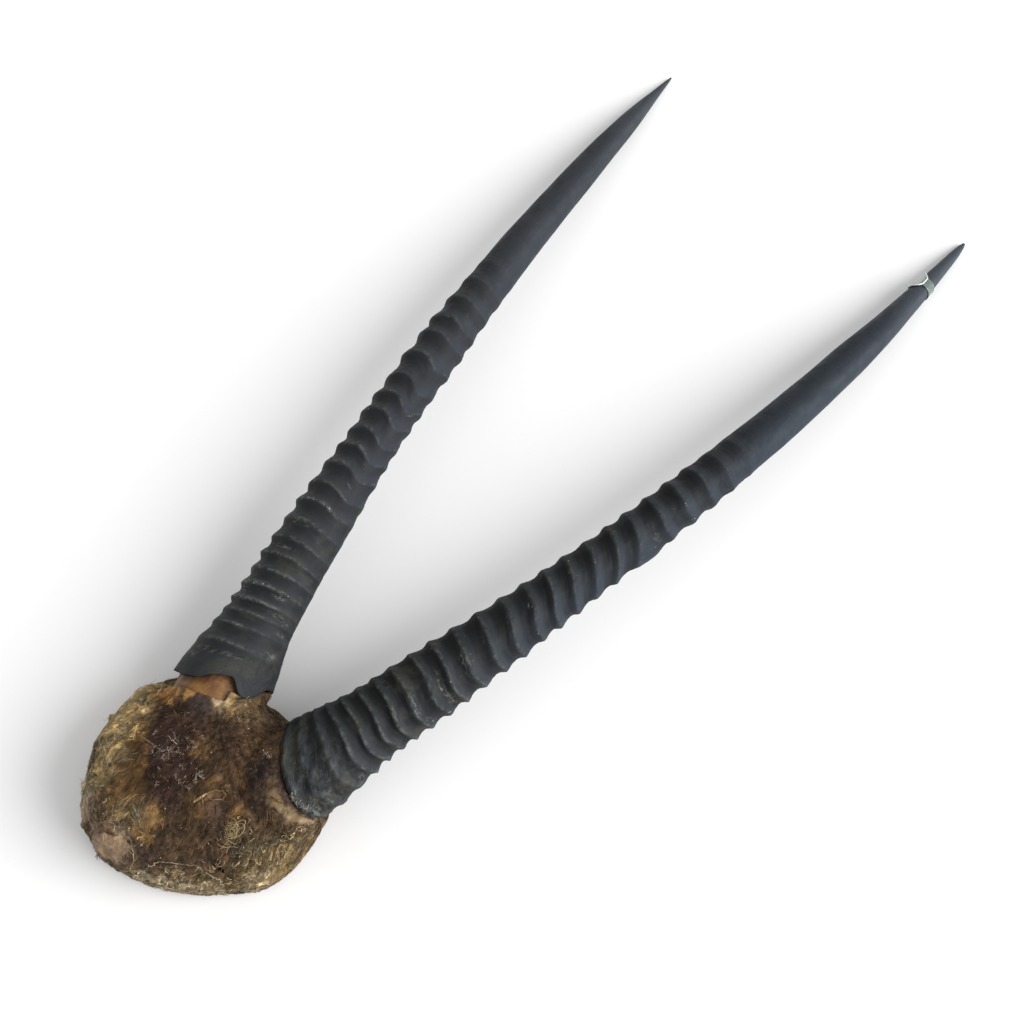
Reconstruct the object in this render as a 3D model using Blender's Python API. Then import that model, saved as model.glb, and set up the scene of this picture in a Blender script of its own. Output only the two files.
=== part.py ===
"""Pair of ringed antelope horns on the piece of skull they grew from.

Metres, +Z up. The horns lie along +Y, the skull cap rests on its sawn underside
and the two horn tips touch the table. Every size below is in the drawing frame,
whose origin lies on the table between the horn bases. ORIGIN moves the finished
pieces so that the middle of their common box stands at x = 0, y = 0.
"""
import math

import bmesh
import bpy
from mathutils import Vector, noise

# ---- where the pieces stand ----
ORIGIN = (-0.0049, 0.3234)  # middle of the box in the drawing frame
GAP = 0.0003  # air between two pieces that touch

# ---- horn centrelines: four guide points each, base to tip ----
LEFT_PATH = (
    (-0.052, 0.005, 0.048), (-0.118, 0.264, 0.076), (-0.160, 0.515, 0.042), (-0.190, 0.795, 0.002),
)
RIGHT_PATH = (
    (0.048, -0.003, 0.048), (0.126, 0.263, 0.076), (0.171, 0.513, 0.042), (0.173, 0.803, 0.002),
)

# ---- horn radius at a distance along the centreline ----
LEFT_RADIUS = (
    (-0.030, 0.0410), (0.000, 0.0382), (0.021, 0.0344), (0.036, 0.0314), (0.055, 0.0287), (0.085, 0.0272),
    (0.120, 0.0262), (0.155, 0.0252), (0.190, 0.0231), (0.225, 0.0217), (0.300, 0.0213), (0.366, 0.0212),
    (0.400, 0.0202), (0.455, 0.0189), (0.503, 0.0178), (0.552, 0.0164), (0.604, 0.0150), (0.659, 0.0128),
    (0.720, 0.0094), (0.745, 0.0071), (0.770, 0.0045), (0.795, 0.0021), (0.807, 0.0008),
)
RIGHT_RADIUS = (
    (-0.030, 0.0400), (0.000, 0.0375), (0.031, 0.0334), (0.047, 0.0306), (0.062, 0.0292), (0.100, 0.0283),
    (0.124, 0.0274), (0.155, 0.0257), (0.190, 0.0244), (0.230, 0.0226), (0.280, 0.0210), (0.350, 0.0206),
    (0.400, 0.0200), (0.441, 0.0193), (0.481, 0.0187), (0.524, 0.0181), (0.569, 0.0170), (0.615, 0.0157),
    (0.664, 0.0132), (0.720, 0.0098), (0.745, 0.0080), (0.770, 0.0065), (0.790, 0.0052), (0.806, 0.0038),
    (0.816, 0.0025), (0.822, 0.0012),
)

# ---- ring crests along the horn, and how high each stands ----
LEFT_RINGS = (
    0.021, 0.034, 0.046, 0.057, 0.071, 0.085, 0.100, 0.116, 0.134, 0.153, 0.170, 0.192,
    0.211, 0.229, 0.250, 0.269, 0.290, 0.318, 0.346, 0.366, 0.393, 0.420, 0.446,
)
RIGHT_RINGS = (
    0.024, 0.034, 0.046, 0.060, 0.074, 0.090, 0.108, 0.127, 0.148, 0.171, 0.194, 0.216,
    0.236, 0.257, 0.280, 0.303, 0.324, 0.348, 0.371, 0.394, 0.418, 0.442,
)
RING_HEIGHT = 0.0017  # crest above the mean surface, the same below it
BASE_RING_SHARE = 0.55  # the three rings at the base are lower
LAST_RING_SHARES = (0.22, 0.45, 0.8)  # from the last ring back

# ---- how the rings sweep round the horn ----
# eight values round the horn from the underside, 45 degrees apart, towards the outer side
# each row: distance along the horn, shift of the ring towards the tip in millimetres
LEFT_SWEEP = (
    (0.000, (-6, 2, 4, -10, -6, -15, -13, -10)),
    (0.030, (3, 6, 7, 6, 3, 1, -1, 0)),
    (0.075, (1, 3, 4, 4, 3, 0.5, 0, 0)),
    (0.115, (0, 0, 0, 0, 1.5, 0.5, 0, 0)),
    (0.200, (3, 5, 6, -3, 4, 2, 0, 2)),
    (0.280, (4, 8, 8, -3, 7, 3, 0, 2)),
    (0.360, (0, 2, 3, 0, 3, 1, 0, 0)),
    (0.460, (0, 0, 0, 0, 0, 0, 0, 0)),
)
RIGHT_SWEEP = (
    (0.000, (-5, 0, 8, 0, -14, -20, -13, -8)),
    (0.040, (2, 2, 1, 1, 2, -1, 6, 5)),
    (0.110, (1, 0, 0, 1, 1, -3, 2, 2)),
    (0.150, (-1, 0, 0, 0, -4, -8, -3, -2)),
    (0.200, (-3, -1, 0, -1, -5, -13, -10, -6)),
    (0.240, (-4, -1, 0, -1, -6, -15, -15, -9)),
    (0.280, (-5, -2, 0, -2, -7, -16, -19, -12)),
    (0.312, (-6, -2, 0, -2, -7, -15, -22, -14)),
    (0.348, (-1, 0, 0, -2, -5, -8, -3, -2)),
    (0.400, (0, 0, 0, 0, 0, -2, 2, 0)),
    (0.460, (0, 0, 0, 0, 0, 0, 0, 0)),
)
# each row: distance along the horn, share of the ring height round the horn
LEFT_RELIEF = (
    (0.020, (0.5, 0.3, 0.05, 0.6, 1, 1, 1, 0.8)),
    (0.140, (0.5, 0.3, 0.1, 0.6, 1, 1, 1, 0.8)),
    (0.185, (0.7, 0.6, 0.55, 0.45, 1, 1, 0.9, 0.8)),
    (0.400, (0.7, 0.7, 0.6, 0.4, 1, 1, 0.9, 0.8)),
)
RIGHT_RELIEF = (
    (0.020, (0.5, 0.3, 0.1, 0.6, 0.9, 0.9, 1, 0.9)),
    (0.070, (0.5, 0.4, 0.3, 0.8, 1, 1, 1, 0.9)),
    (0.130, (0.8, 0.7, 0.7, 0.9, 1, 1, 1, 0.9)),
    (0.400, (0.7, 0.7, 0.7, 0.9, 1, 0.8, 0.9, 0.8)),
)

# one crest of the right horn fades out before the inner side: place, half length, angle, half spread
HALF_RING = (0.334, 0.011, 100, 62)

HORN_SIDES = 14
SOCKET_WALL = 0.0045  # thickness of the sheath at its rim
SOCKET_FLOOR = 0.022  # how far the bone reaches into the sheath
SMOOTH_PLACES = (0.475, 0.52, 0.565, 0.61, 0.65, 0.69, 0.725, 0.755)  # cross sections past the rings
TIP_PLACES = (0.035, 0.018, 0.007)  # and back from the tip

# ---- skull and hide ----
CAP_CENTRE = (-0.008, -0.072)
CAP_OUTLINE = (
    (0.000, 0.013), (-0.030, 0.010), (-0.062, -0.006), (-0.101, -0.020), (-0.111, -0.057), (-0.104, -0.092),
    (-0.090, -0.120), (-0.074, -0.142), (-0.040, -0.156), (-0.005, -0.151), (0.027, -0.138), (0.055, -0.113),
    (0.076, -0.090), (0.083, -0.062), (0.079, -0.031), (0.060, -0.004), (0.030, 0.011),
)
CAP_HEIGHT = 0.086
DOME_FULLNESS = 2.8  # higher is squarer
HIDE_SIDES = 32
HIDE_SHARES = (1.0, 0.975, 0.93, 0.85, 0.74, 0.6, 0.44, 0.24)  # loops of the dome, shares of its outline
BONE_SIDES = 24
BONE_SHARES = (1.0, 0.97, 0.9, 0.78, 0.58, 0.32)
HIDE_THICKNESS = 0.009  # skin and the matted hair on it
HIDE_EDGE = 0.003  # height of the lower edge of the hide above the table
HIDE_LUMP = 0.0045
LUMP_SIZE = 0.026
HOLLOW_SIZE = (0.046, 0.040, 0.046)  # half sizes of the brain hollow
STUB_SIDES = 16
STUB_BACK = -0.085  # where the bone stubs start inside the skull
STUB_STOPS = (-0.045, -0.012)
STUB_PLAY = 0.0012  # the stub is slacker in the sheath than the wall alone makes it
HOLLOW_SIDES = 18
HOLLOW_LEVELS = (-0.2, 0.0, 0.35, 0.65, 0.88)
RIM_GAP = 0.0008  # the rims are cut at a slant, so the hide keeps a little more air there
RIM_DEPTH = 0.016  # how far inside the sheath its room in the hide is cut
SHEATH_STOPS = (0.02, 0.05, 0.08)
COLLAR_BACK = -0.070
LEFT_COLLAR = (0.0378, 0.0012)  # radius of the skin round the foot of a horn, and its fold
RIGHT_COLLAR = (0.0385, 0.0040)
COLLAR_LOOPS = ((COLLAR_BACK, 0), (-0.044, 0), (-0.036, 1), (-0.030, 0.7))  # distance, share of the fold
COLLAR_TUCK = 0.005  # how far it runs in under the sheath before the sheath is cut out of it
FLAP_CENTRE = (-0.0180, -0.1430, 0.0545)  # round curl of bare skin at the edge of the hide
FLAP_FACING = (0.25, -0.80, 0.50)
FLAP_SIZE = (0.020, 0.018, 0.004)
FLAP_SIDES = 14
BARE_SPAN = (-31, 170)  # the left stub is bare here: degrees from its top, towards the outer side
BARE_FROM = (-0.019, -0.036)  # where the hide ends at each side of that span
BARE_WIDTH = 0.022
BARE_DEPTH = 0.008

LOCKS = 44
LOCK_LENGTH = 0.0265
LOCK_WIDTH = 0.0075
LOCK_RISE = 0.0035
LOCK_ROOT = 0.004  # depth of the root in the hide
LOCK_KEEL = 0.006
LOCKS_BEHIND = -0.045  # none is nearer the horns than this
LOCK_SPREAD = (0.30, 0.62)  # nearest to the middle of the cap, and the rest of the way out, as shares
OUTLINE_STEPS = 68

# ---- tag tie near the right tip ----
TIE_START = 0.7325
TIE_END = 0.7400
TIE_THICKNESS = 0.0008
TIE_SIDES = 24
# the folded end: angle, and how far the band widens there towards the base and towards the tip
TIE_FOLD = (
    (-180, 0, 0), (-112, 0, 0), (-82, -0.003, 0.013), (-48, -0.002, 0.010), (-14, 0, 0.003), (4, 0, 0),
    (180, 0, 0),
)
TIE_LIFT = 0.0010  # the folded part stands off the horn
TIE_LIFTED = 0.010  # where it widens by this much or more

COLOURS = {
    "skull_cap": ((0.36, 0.21, 0.09), 0.55),
    "scalp": ((0.16, 0.105, 0.055), 0.95),
    "horn_left": ((0.040, 0.044, 0.049), 0.62),
    "horn_right": ((0.040, 0.044, 0.049), 0.62),
    "tag_tie": ((0.62, 0.66, 0.64), 0.30),
}


def curve_through(table, x):
    """Smooth value at x in a table of (x, value) rows."""
    last = len(table) - 1
    if x <= table[0][0]:
        return table[0][1]
    if x >= table[last][0]:
        return table[last][1]
    k = 0
    while table[k + 1][0] < x:
        k += 1
    x0, y0 = table[k]
    x1, y1 = table[k + 1]
    step = x1 - x0
    here = (y1 - y0) / step
    before = (y0 - table[k - 1][1]) / (x0 - table[k - 1][0]) if k > 0 else here
    after = (table[k + 2][1] - y1) / (table[k + 2][0] - x1) if k + 2 <= last else here
    m0 = 0.5 * (before + here) * step
    m1 = 0.5 * (here + after) * step
    t = (x - x0) / step
    return (
        (2 * t**3 - 3 * t**2 + 1) * y0
        + (t**3 - 2 * t**2 + t) * m0
        + (3 * t**2 - 2 * t**3) * y1
        + (t**3 - t**2) * m1
    )


def around(values, angle):
    """Smooth value round the horn: values are evenly spaced, starting at the underside."""
    count = len(values)
    place = (angle / math.tau + 0.5) * count
    k = math.floor(place)
    t = place - k
    a, b, c, d = (values[(k + i) % count] for i in (-1, 0, 1, 2))
    return b + 0.5 * t * (c - a + t * (2 * a - 5 * b + 4 * c - d + t * (3 * (b - c) + d - a)))


def along_rows(rows, distance, angle):
    """Value between two rows of a table that is spaced along the horn."""
    if distance <= rows[0][0]:
        return around(rows[0][1], angle)
    for (x0, v0), (x1, v1) in zip(rows, rows[1:]):
        if distance <= x1:
            t = (distance - x0) / (x1 - x0)
            t = t * t * (3 - 2 * t)
            return around(v0, angle) * (1 - t) + around(v1, angle) * t
    return around(rows[-1][1], angle)


class Horn:
    """The shape of one horn sheath as a function of place along it and angle round it."""

    def __init__(self, path, radius, rings, sweep, relief, outer_side, sharpness, extra=None):
        self.guides = [Vector(p) for p in path]
        self.radius = radius
        self.rings = rings
        self.sweep = sweep
        self.relief = relief
        self.outer_side = outer_side
        self.sharpness = sharpness
        self.extra = extra
        steps = 600
        self.samples = [self.bezier(i / steps) for i in range(steps + 1)]
        self.lengths = [0.0]
        for a, b in zip(self.samples, self.samples[1:]):
            self.lengths.append(self.lengths[-1] + (b - a).length)
        self.length = self.lengths[-1]

    def bezier(self, t):
        a, b, c, d = self.guides
        s = 1 - t
        return a * s**3 + b * (3 * s * s * t) + c * (3 * s * t * t) + d * t**3

    def frame(self, distance):
        """Centre, direction, up and outward side at a distance along the centreline."""
        if distance <= 0:
            direction = (self.samples[1] - self.samples[0]).normalized()
            centre = self.samples[0] + direction * distance
        else:
            low, high = 0, len(self.lengths) - 1
            while high - low > 1:
                mid = (low + high) // 2
                if self.lengths[mid] < distance:
                    low = mid
                else:
                    high = mid
            t = (distance - self.lengths[low]) / (self.lengths[high] - self.lengths[low])
            centre = self.samples[low].lerp(self.samples[high], t)
            before = self.samples[max(low - 1, 0)]
            after = self.samples[min(high + 1, len(self.samples) - 1)]
            direction = (after - before).normalized()
        up = Vector((0, 0, 1))
        up = (up - direction * up.dot(direction)).normalized()
        side = direction.cross(up) * self.outer_side
        return centre, direction, up, side

    def ring(self, place):
        """Height share of the rings at a place, from -1 in a hollow to 1 on a crest."""
        rings = self.rings
        if place < rings[0]:
            pitch = rings[1] - rings[0]
            share = (place - rings[0] + pitch) / pitch
            return 0.0 if share < 0 else share * share * BASE_RING_SHARE * self.wave(share)
        for k in range(len(rings) - 1):
            if place < rings[k + 1]:
                t = (place - rings[k]) / (rings[k + 1] - rings[k])
                strength = self.strength(k) * (1 - t) + self.strength(k + 1) * t
                return strength * self.wave(t)
        t = (place - rings[-1]) / (rings[-1] - rings[-2])
        return 0.0 if t > 1 else self.strength(len(rings) - 1) * (1 - t) ** 2 * self.wave(t)

    def wave(self, t):
        return 2 * (0.5 + 0.5 * math.cos(math.tau * t)) ** self.sharpness - 1

    def strength(self, k):
        from_end = len(self.rings) - 1 - k
        if from_end < len(LAST_RING_SHARES):
            return LAST_RING_SHARES[from_end]
        if k < 3:
            return BASE_RING_SHARE
        return 1.0 + 0.15 * math.sin(2.3 * k)

    def distance(self, place, angle):
        return place + 0.001 * along_rows(self.sweep, place, angle)

    def surface(self, place, angle, inset=0.0):
        """Point on the outside of the sheath; inset moves it towards the centreline."""
        distance = self.distance(place, angle)
        radius = curve_through(self.radius, distance) - inset
        if not inset:
            radius += RING_HEIGHT * along_rows(self.relief, place, angle) * self.ring(place)
            radius += RING_HEIGHT * self.half_ring(place, angle)
        return self.spot(distance, angle, radius)

    def half_ring(self, place, angle):
        """Height share of the crest that runs only part of the way round."""
        if not self.extra:
            return 0.0
        centre, reach, middle, spread = self.extra
        t = abs(place - centre) / reach
        turn = abs((math.degrees(angle) - middle + 180) % 360 - 180) / spread
        if t > 1 or turn > 1:
            return 0.0
        return 1.8 * (0.5 + 0.5 * math.cos(math.pi * t)) * (0.5 + 0.5 * math.cos(math.pi * turn))

    def spot(self, distance, angle, radius):
        centre, _, up, side = self.frame(distance)
        return centre + (up * math.cos(angle) + side * math.sin(angle)) * radius

    def bare_radius(self, distance):
        return curve_through(self.radius, distance)


LEFT = Horn(LEFT_PATH, LEFT_RADIUS, LEFT_RINGS, LEFT_SWEEP, LEFT_RELIEF, -1, 0.9)
RIGHT = Horn(RIGHT_PATH, RIGHT_RADIUS, RIGHT_RINGS, RIGHT_SWEEP, RIGHT_RELIEF, 1, 1.25, HALF_RING)


def angles(count, horn=None):
    """Angles round a horn, ordered so that loops towards the tip face outwards."""
    turn = -horn.outer_side if horn else 1
    return [turn * (math.tau * i / count) - math.pi * turn for i in range(count)]


def object_from(name, verts, faces):
    mesh = bpy.data.meshes.new(name)
    mesh.from_pydata([tuple(v) for v in verts], [], faces)
    mesh.validate()
    bm = bmesh.new()
    bm.from_mesh(mesh)
    bmesh.ops.triangulate(bm, faces=bm.faces, quad_method="FIXED")
    bmesh.ops.recalc_face_normals(bm, faces=bm.faces)
    bm.to_mesh(mesh)
    bm.free()
    thing = bpy.data.objects.new(name, mesh)
    bpy.context.scene.collection.objects.link(thing)
    return thing


def loft(name, loops, start=None, end=None):
    """Closed body through loops of equal count; start and end are single points or flat caps."""
    count = len(loops[0])
    verts = [v for loop in loops for v in loop]
    faces = []
    for k in range(len(loops) - 1):
        for i in range(count):
            j = (i + 1) % count
            a, b = k * count + i, k * count + j
            faces.append((a, b, b + count, a + count))
    for point, k in ((start, 0), (end, len(loops) - 1)):
        ring = [k * count + i for i in range(count)]
        if point is None:
            faces.append(tuple(ring))
        else:
            verts.append(point)
            tip = len(verts) - 1
            faces.extend((ring[i], ring[(i + 1) % count], tip) for i in range(count))
    return object_from(name, verts, faces)


def boolean(target, tool, operation):
    """Joins or cuts with a tool object and removes the tool."""
    modifier = target.modifiers.new("shape", "BOOLEAN")
    modifier.operation = operation
    modifier.solver = "EXACT"
    modifier.object = tool
    bpy.context.view_layer.update()
    graph = bpy.context.evaluated_depsgraph_get()
    mesh = bpy.data.meshes.new_from_object(target.evaluated_get(graph), depsgraph=graph)
    target.modifiers.clear()
    target.data = mesh
    bpy.data.objects.remove(tool)


# ---- horns ----
def horn_places(horn):
    """Places along the sheath: four to each ring, wider apart on the smooth tip."""
    rings = horn.rings
    places = [0.0, 0.006, 0.5 * (0.006 + rings[0])]
    for a, b in zip(rings, rings[1:]):
        places.extend((a, a * 0.72 + b * 0.28, (a + b) / 2, a * 0.28 + b * 0.72))
    places.append(rings[-1])
    places.extend(SMOOTH_PLACES)
    places.extend(horn.length - back for back in TIP_PLACES)
    return places


def build_horn(name, horn):
    ring = angles(HORN_SIDES, horn)
    floor = [horn.spot(SOCKET_FLOOR, a, horn.bare_radius(SOCKET_FLOOR) - SOCKET_WALL) for a in ring]
    mouth = [horn.surface(0.0, a, SOCKET_WALL) for a in ring]
    loops = [floor, mouth]
    loops.extend([horn.surface(p, a) for a in ring] for p in horn_places(horn))
    centre = horn.frame(SOCKET_FLOOR)[0]
    tip = horn.frame(horn.length)[0]
    return loft(name, loops, start=centre, end=tip)


# ---- skull and hide ----
def outline_point(turn):
    """Smooth closed outline of the hide on the table; turn runs from 0 to 1."""
    count = len(CAP_OUTLINE)
    place = turn * count
    k = math.floor(place)
    t = place - k
    a, b, c, d = (Vector(CAP_OUTLINE[(k + i) % count]) for i in (-1, 0, 1, 2))
    return b + 0.5 * t * (c - a + t * (2 * a - 5 * b + 4 * c - d + t * (3 * (b - c) + d - a)))


def dome_loops(count, shares, inset, height, lump=0.0, foot=0.0):
    """Loops of a dome from its foot up; inset draws the outline in."""
    middle = Vector(CAP_CENTRE)
    loops = []
    for share in shares:
        loop = []
        for i in range(count):
            edge = outline_point(i / count) - middle
            edge = edge * ((edge.length - inset) / edge.length)
            flat = middle + edge * share
            z = height * math.sqrt(1 - share**DOME_FULLNESS)
            point = Vector((flat.x, flat.y, max(z, foot)))
            if lump:
                out = Vector((edge.x, edge.y, 0)).normalized() * share + Vector((0, 0, 1 - share * share))
                point += out.normalized() * (lump * noise.noise(point / LUMP_SIZE))
                point.z = max(point.z, foot)
            loop.append(point)
        loops.append(loop)
    return loops


def dome(name, count, shares, inset, height, lump=0.0, foot=0.0):
    loops = dome_loops(count, shares, inset, height, lump, foot)
    top = Vector((CAP_CENTRE[0], CAP_CENTRE[1], height))
    return loft(name, loops, end=top)


def stub_radius(horn, distance):
    return horn.bare_radius(max(distance, STUB_STOPS[1])) - SOCKET_WALL - STUB_PLAY


def stub(name, horn, grow=0.0):
    """Bone stub that carries a sheath; grown by a gap it serves as the cutter for the hide."""
    ring = angles(STUB_SIDES, horn)
    stops = [STUB_BACK, *STUB_STOPS, SOCKET_FLOOR - GAP]
    if grow:
        stops = [STUB_BACK - 0.01, *STUB_STOPS, SOCKET_FLOOR, SOCKET_FLOOR + 0.03]
    loops = []
    for distance in stops:
        loops.append([horn.spot(distance, a, stub_radius(horn, distance) + grow) for a in ring])
    return loft(name, loops)


def bare_space(name, horn):
    """Room round the top of a stub where the hide is gone."""
    loops = []
    span = BARE_SPAN[1] - BARE_SPAN[0]
    for i in range(9):
        t = i / 8
        a = math.radians(BARE_SPAN[0] + span * t)
        back = BARE_FROM[0] * (1 - t) + BARE_FROM[1] * t
        low = stub_radius(horn, back) - BARE_DEPTH
        high = low + BARE_DEPTH + BARE_WIDTH
        corners = ((back, low), (back, high), (0.02, high), (0.02, low))
        loops.append([horn.spot(distance, a, radius) for distance, radius in corners])
    return loft(name, loops)


def build_skull():
    skull = dome("skull_cap", BONE_SIDES, BONE_SHARES, HIDE_THICKNESS, CAP_HEIGHT - HIDE_THICKNESS)
    boolean(skull, stub("left_stub", LEFT), "UNION")
    boolean(skull, stub("right_stub", RIGHT), "UNION")
    loops = []
    for level in HOLLOW_LEVELS:
        spread = math.sqrt(1 - max(level, 0) ** 2)
        loop = []
        for i in range(HOLLOW_SIDES):
            turn = math.tau * i / HOLLOW_SIDES
            x = CAP_CENTRE[0] + HOLLOW_SIZE[0] * spread * math.cos(turn)
            y = CAP_CENTRE[1] + HOLLOW_SIZE[1] * spread * math.sin(turn)
            loop.append(Vector((x, y, HOLLOW_SIZE[2] * level)))
        loops.append(loop)
    hollow = loft("hollow", loops, end=Vector((CAP_CENTRE[0], CAP_CENTRE[1], HOLLOW_SIZE[2])))
    boolean(skull, hollow, "DIFFERENCE")
    return skull


def collar(name, horn, radius, fold):
    """Shrunken skin that rises round the foot of a horn."""
    ring = angles(HORN_SIDES, horn)
    loops = []
    for distance, share in COLLAR_LOOPS:
        loops.append([horn.spot(distance, a, radius + fold * share) for a in ring])
    front = []
    for a in ring:
        rim = horn.distance(0.0, a) + COLLAR_TUCK
        front.append(horn.spot(rim, a, horn.bare_radius(rim) - STUB_PLAY))
    loops.append(front)
    return loft(name, loops, end=horn.frame(0.0)[0])


def hair_direction(point):
    """The hair lies outwards and down, with a turn to one side."""
    out = Vector((point.x - CAP_CENTRE[0], point.y - CAP_CENTRE[1], 0))
    if out.length < 1e-6:
        out = Vector((0, -1, 0))
    out.normalize()
    turned = Vector((-out.y, out.x, 0))
    return (out + turned * (0.55 * noise.noise(point / 0.05) + 0.25)).normalized()


def dome_height(x, y, inset, height):
    """Height and share of a dome above a place in plan."""
    middle = Vector(CAP_CENTRE)
    flat = Vector((x, y)) - middle
    best, reach = 9.0, 0.1
    for i in range(OUTLINE_STEPS):
        edge = outline_point(i / OUTLINE_STEPS) - middle
        off = abs(math.atan2(flat.cross(edge), flat.dot(edge))) if flat.length else 0.0
        if off < best:
            best, reach = off, edge.length - inset
    share = min(flat.length / reach, 0.999)
    return height * math.sqrt(1 - share**DOME_FULLNESS), share


def add_locks(scalp):
    """Matted locks of hair, each a flat pointed wedge whose root lies in the hide."""
    made, tried = 0, 0
    while made < LOCKS and tried < 400:
        tried += 1
        spread = LOCK_SPREAD[0] + LOCK_SPREAD[1] * math.sqrt((tried * 0.754878) % 1.0)
        turn = tried * 2.399963
        edge = outline_point((turn / math.tau) % 1.0) - Vector(CAP_CENTRE)
        spot = Vector(CAP_CENTRE) + edge * spread
        if spot.y > LOCKS_BEHIND:
            continue
        root = Vector((spot.x, spot.y, dome_height(spot.x, spot.y, 0.0, CAP_HEIGHT)[0]))
        heading = hair_direction(root)
        length = LOCK_LENGTH * (0.75 + 0.5 * ((tried * 0.37) % 1.0))
        far = Vector((spot.x, spot.y)) + Vector((heading.x, heading.y)) * length * (1.05 - 0.75 * spread)
        height, share = dome_height(far.x, far.y, 0.0, CAP_HEIGHT)
        if share > 0.985 or height < 0.012:
            continue
        tip = Vector((far.x, far.y, height))
        axis = (tip - root).normalized()
        across = axis.cross(Vector((0, 0, 1)))
        if across.length < 1e-3:
            continue
        across.normalize()
        normal = across.cross(axis).normalized()
        middle = root.lerp(tip, 0.4)
        half = LOCK_WIDTH * (0.38 + 0.24 * ((tried * 0.53) % 1.0))
        loop = (
            middle + across * half - normal * 0.001,
            middle + normal * LOCK_RISE,
            middle - across * half - normal * 0.001,
            middle - normal * LOCK_KEEL,
        )
        lock = loft("lock", [loop], root - normal * LOCK_ROOT, tip + normal * LOCK_RISE * 0.75)
        boolean(scalp, lock, "UNION")
        made += 1


def sheath_space(name, horn):
    """The room that a horn sheath takes, with the gap, to cut the hide clear of it."""
    ring = angles(HORN_SIDES, horn)
    loops = []
    for inside in (RIM_DEPTH, SOCKET_WALL):
        rims = [horn.distance(0.0, a) - RIM_GAP for a in ring]
        loops.append([horn.spot(rim, a, horn.bare_radius(rim) - inside) for rim, a in zip(rims, ring)])
    for place in (-RIM_GAP, *SHEATH_STOPS):
        loop = []
        for a in ring:
            distance = horn.distance(max(place, 0.0), a) + min(place, 0.0)
            loop.append(horn.spot(distance, a, horn.bare_radius(distance) + RING_HEIGHT + 2 * GAP))
        loops.append(loop)
    return loft(name, loops, start=horn.frame(0.0)[0], end=horn.frame(SHEATH_STOPS[-1])[0])


def flap(name):
    """Low lens of dried bare skin."""
    turn = Vector((0, 0, 1)).rotation_difference(Vector(FLAP_FACING)).to_matrix()
    loops = []
    for level in (-0.8, 0.0, 0.8):
        spread = math.sqrt(1 - level * level)
        loop = []
        for i in range(FLAP_SIDES):
            a = math.tau * i / FLAP_SIDES
            point = Vector((math.cos(a) * spread, math.sin(a) * spread, level))
            point = Vector(p * size for p, size in zip(point, FLAP_SIZE))
            loop.append(turn @ point + Vector(FLAP_CENTRE))
        loops.append(loop)
    return loft(name, loops)


def build_scalp():
    scalp = dome("scalp", HIDE_SIDES, HIDE_SHARES, 0.0, CAP_HEIGHT, HIDE_LUMP, HIDE_EDGE)
    boolean(scalp, collar("left_collar", LEFT, *LEFT_COLLAR), "UNION")
    boolean(scalp, collar("right_collar", RIGHT, *RIGHT_COLLAR), "UNION")
    boolean(scalp, flap("flap"), "UNION")
    add_locks(scalp)
    bone_height = CAP_HEIGHT - HIDE_THICKNESS + GAP
    inner = dome_loops(BONE_SIDES, BONE_SHARES, HIDE_THICKNESS - GAP, bone_height)
    below = [Vector((v.x, v.y, -0.02)) for v in inner[0]]
    top = Vector((CAP_CENTRE[0], CAP_CENTRE[1], bone_height))
    boolean(scalp, loft("bone_space", [below] + inner, end=top), "DIFFERENCE")
    boolean(scalp, stub("left_space", LEFT, GAP), "DIFFERENCE")
    boolean(scalp, bare_space("bare_space", LEFT), "DIFFERENCE")
    boolean(scalp, stub("right_space", RIGHT, GAP), "DIFFERENCE")
    boolean(scalp, sheath_space("left_sheath", LEFT), "DIFFERENCE")
    boolean(scalp, sheath_space("right_sheath", RIGHT), "DIFFERENCE")
    return scalp


# ---- tag tie ----
def tie_reach(degrees):
    """How much wider the band is at an angle, towards the base and towards the tip."""
    for (a, low0, high0), (b, low1, high1) in zip(TIE_FOLD, TIE_FOLD[1:]):
        if degrees <= b:
            t = (degrees - a) / (b - a)
            return low0 + (low1 - low0) * t, high0 + (high1 - high0) * t
    return 0.0, 0.0


def build_tie():
    horn = RIGHT
    ring = angles(TIE_SIDES, horn)
    loops = [[], [], [], []]
    for a in ring:
        degrees = math.degrees(a)
        low, high = tie_reach(degrees)
        lift = TIE_LIFT * min(high / TIE_LIFTED, 1.0)
        start, end = TIE_START + low, TIE_END + high
        inside = horn.bare_radius(start) + GAP + lift
        outside = inside + TIE_THICKNESS
        inside_end = max(horn.bare_radius(end) + GAP + lift, inside - TIE_LIFT)
        loops[0].append(horn.spot(start, a, inside))
        loops[1].append(horn.spot(start, a, outside))
        loops[2].append(horn.spot(end, a, inside_end + TIE_THICKNESS))
        loops[3].append(horn.spot(end, a, inside_end))
    count = len(ring)
    verts = [v for loop in loops for v in loop]
    faces = []
    for k in range(4):
        for i in range(count):
            j = (i + 1) % count
            n = (k + 1) % 4
            faces.append((k * count + i, k * count + j, n * count + j, n * count + i))
    return object_from("tag_tie", verts, faces)


def finish(thing, corner):
    """Colour, smooth shading and the move to the common frame."""
    colour, rough = COLOURS[thing.name]
    material = bpy.data.materials.new(thing.name)
    material.use_nodes = True
    surface = material.node_tree.nodes["Principled BSDF"]
    surface.inputs["Base Color"].default_value = (*colour, 1.0)
    surface.inputs["Roughness"].default_value = rough
    surface.inputs["Metallic"].default_value = 0.0
    thing.data.materials.clear()
    thing.data.materials.append(material)
    for vertex in thing.data.vertices:
        vertex.co.x -= ORIGIN[0]
        vertex.co.y -= ORIGIN[1]
    thing.data.shade_smooth()
    thing.data.set_sharp_from_angle(angle=math.radians(corner))
    thing.data.update()


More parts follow.
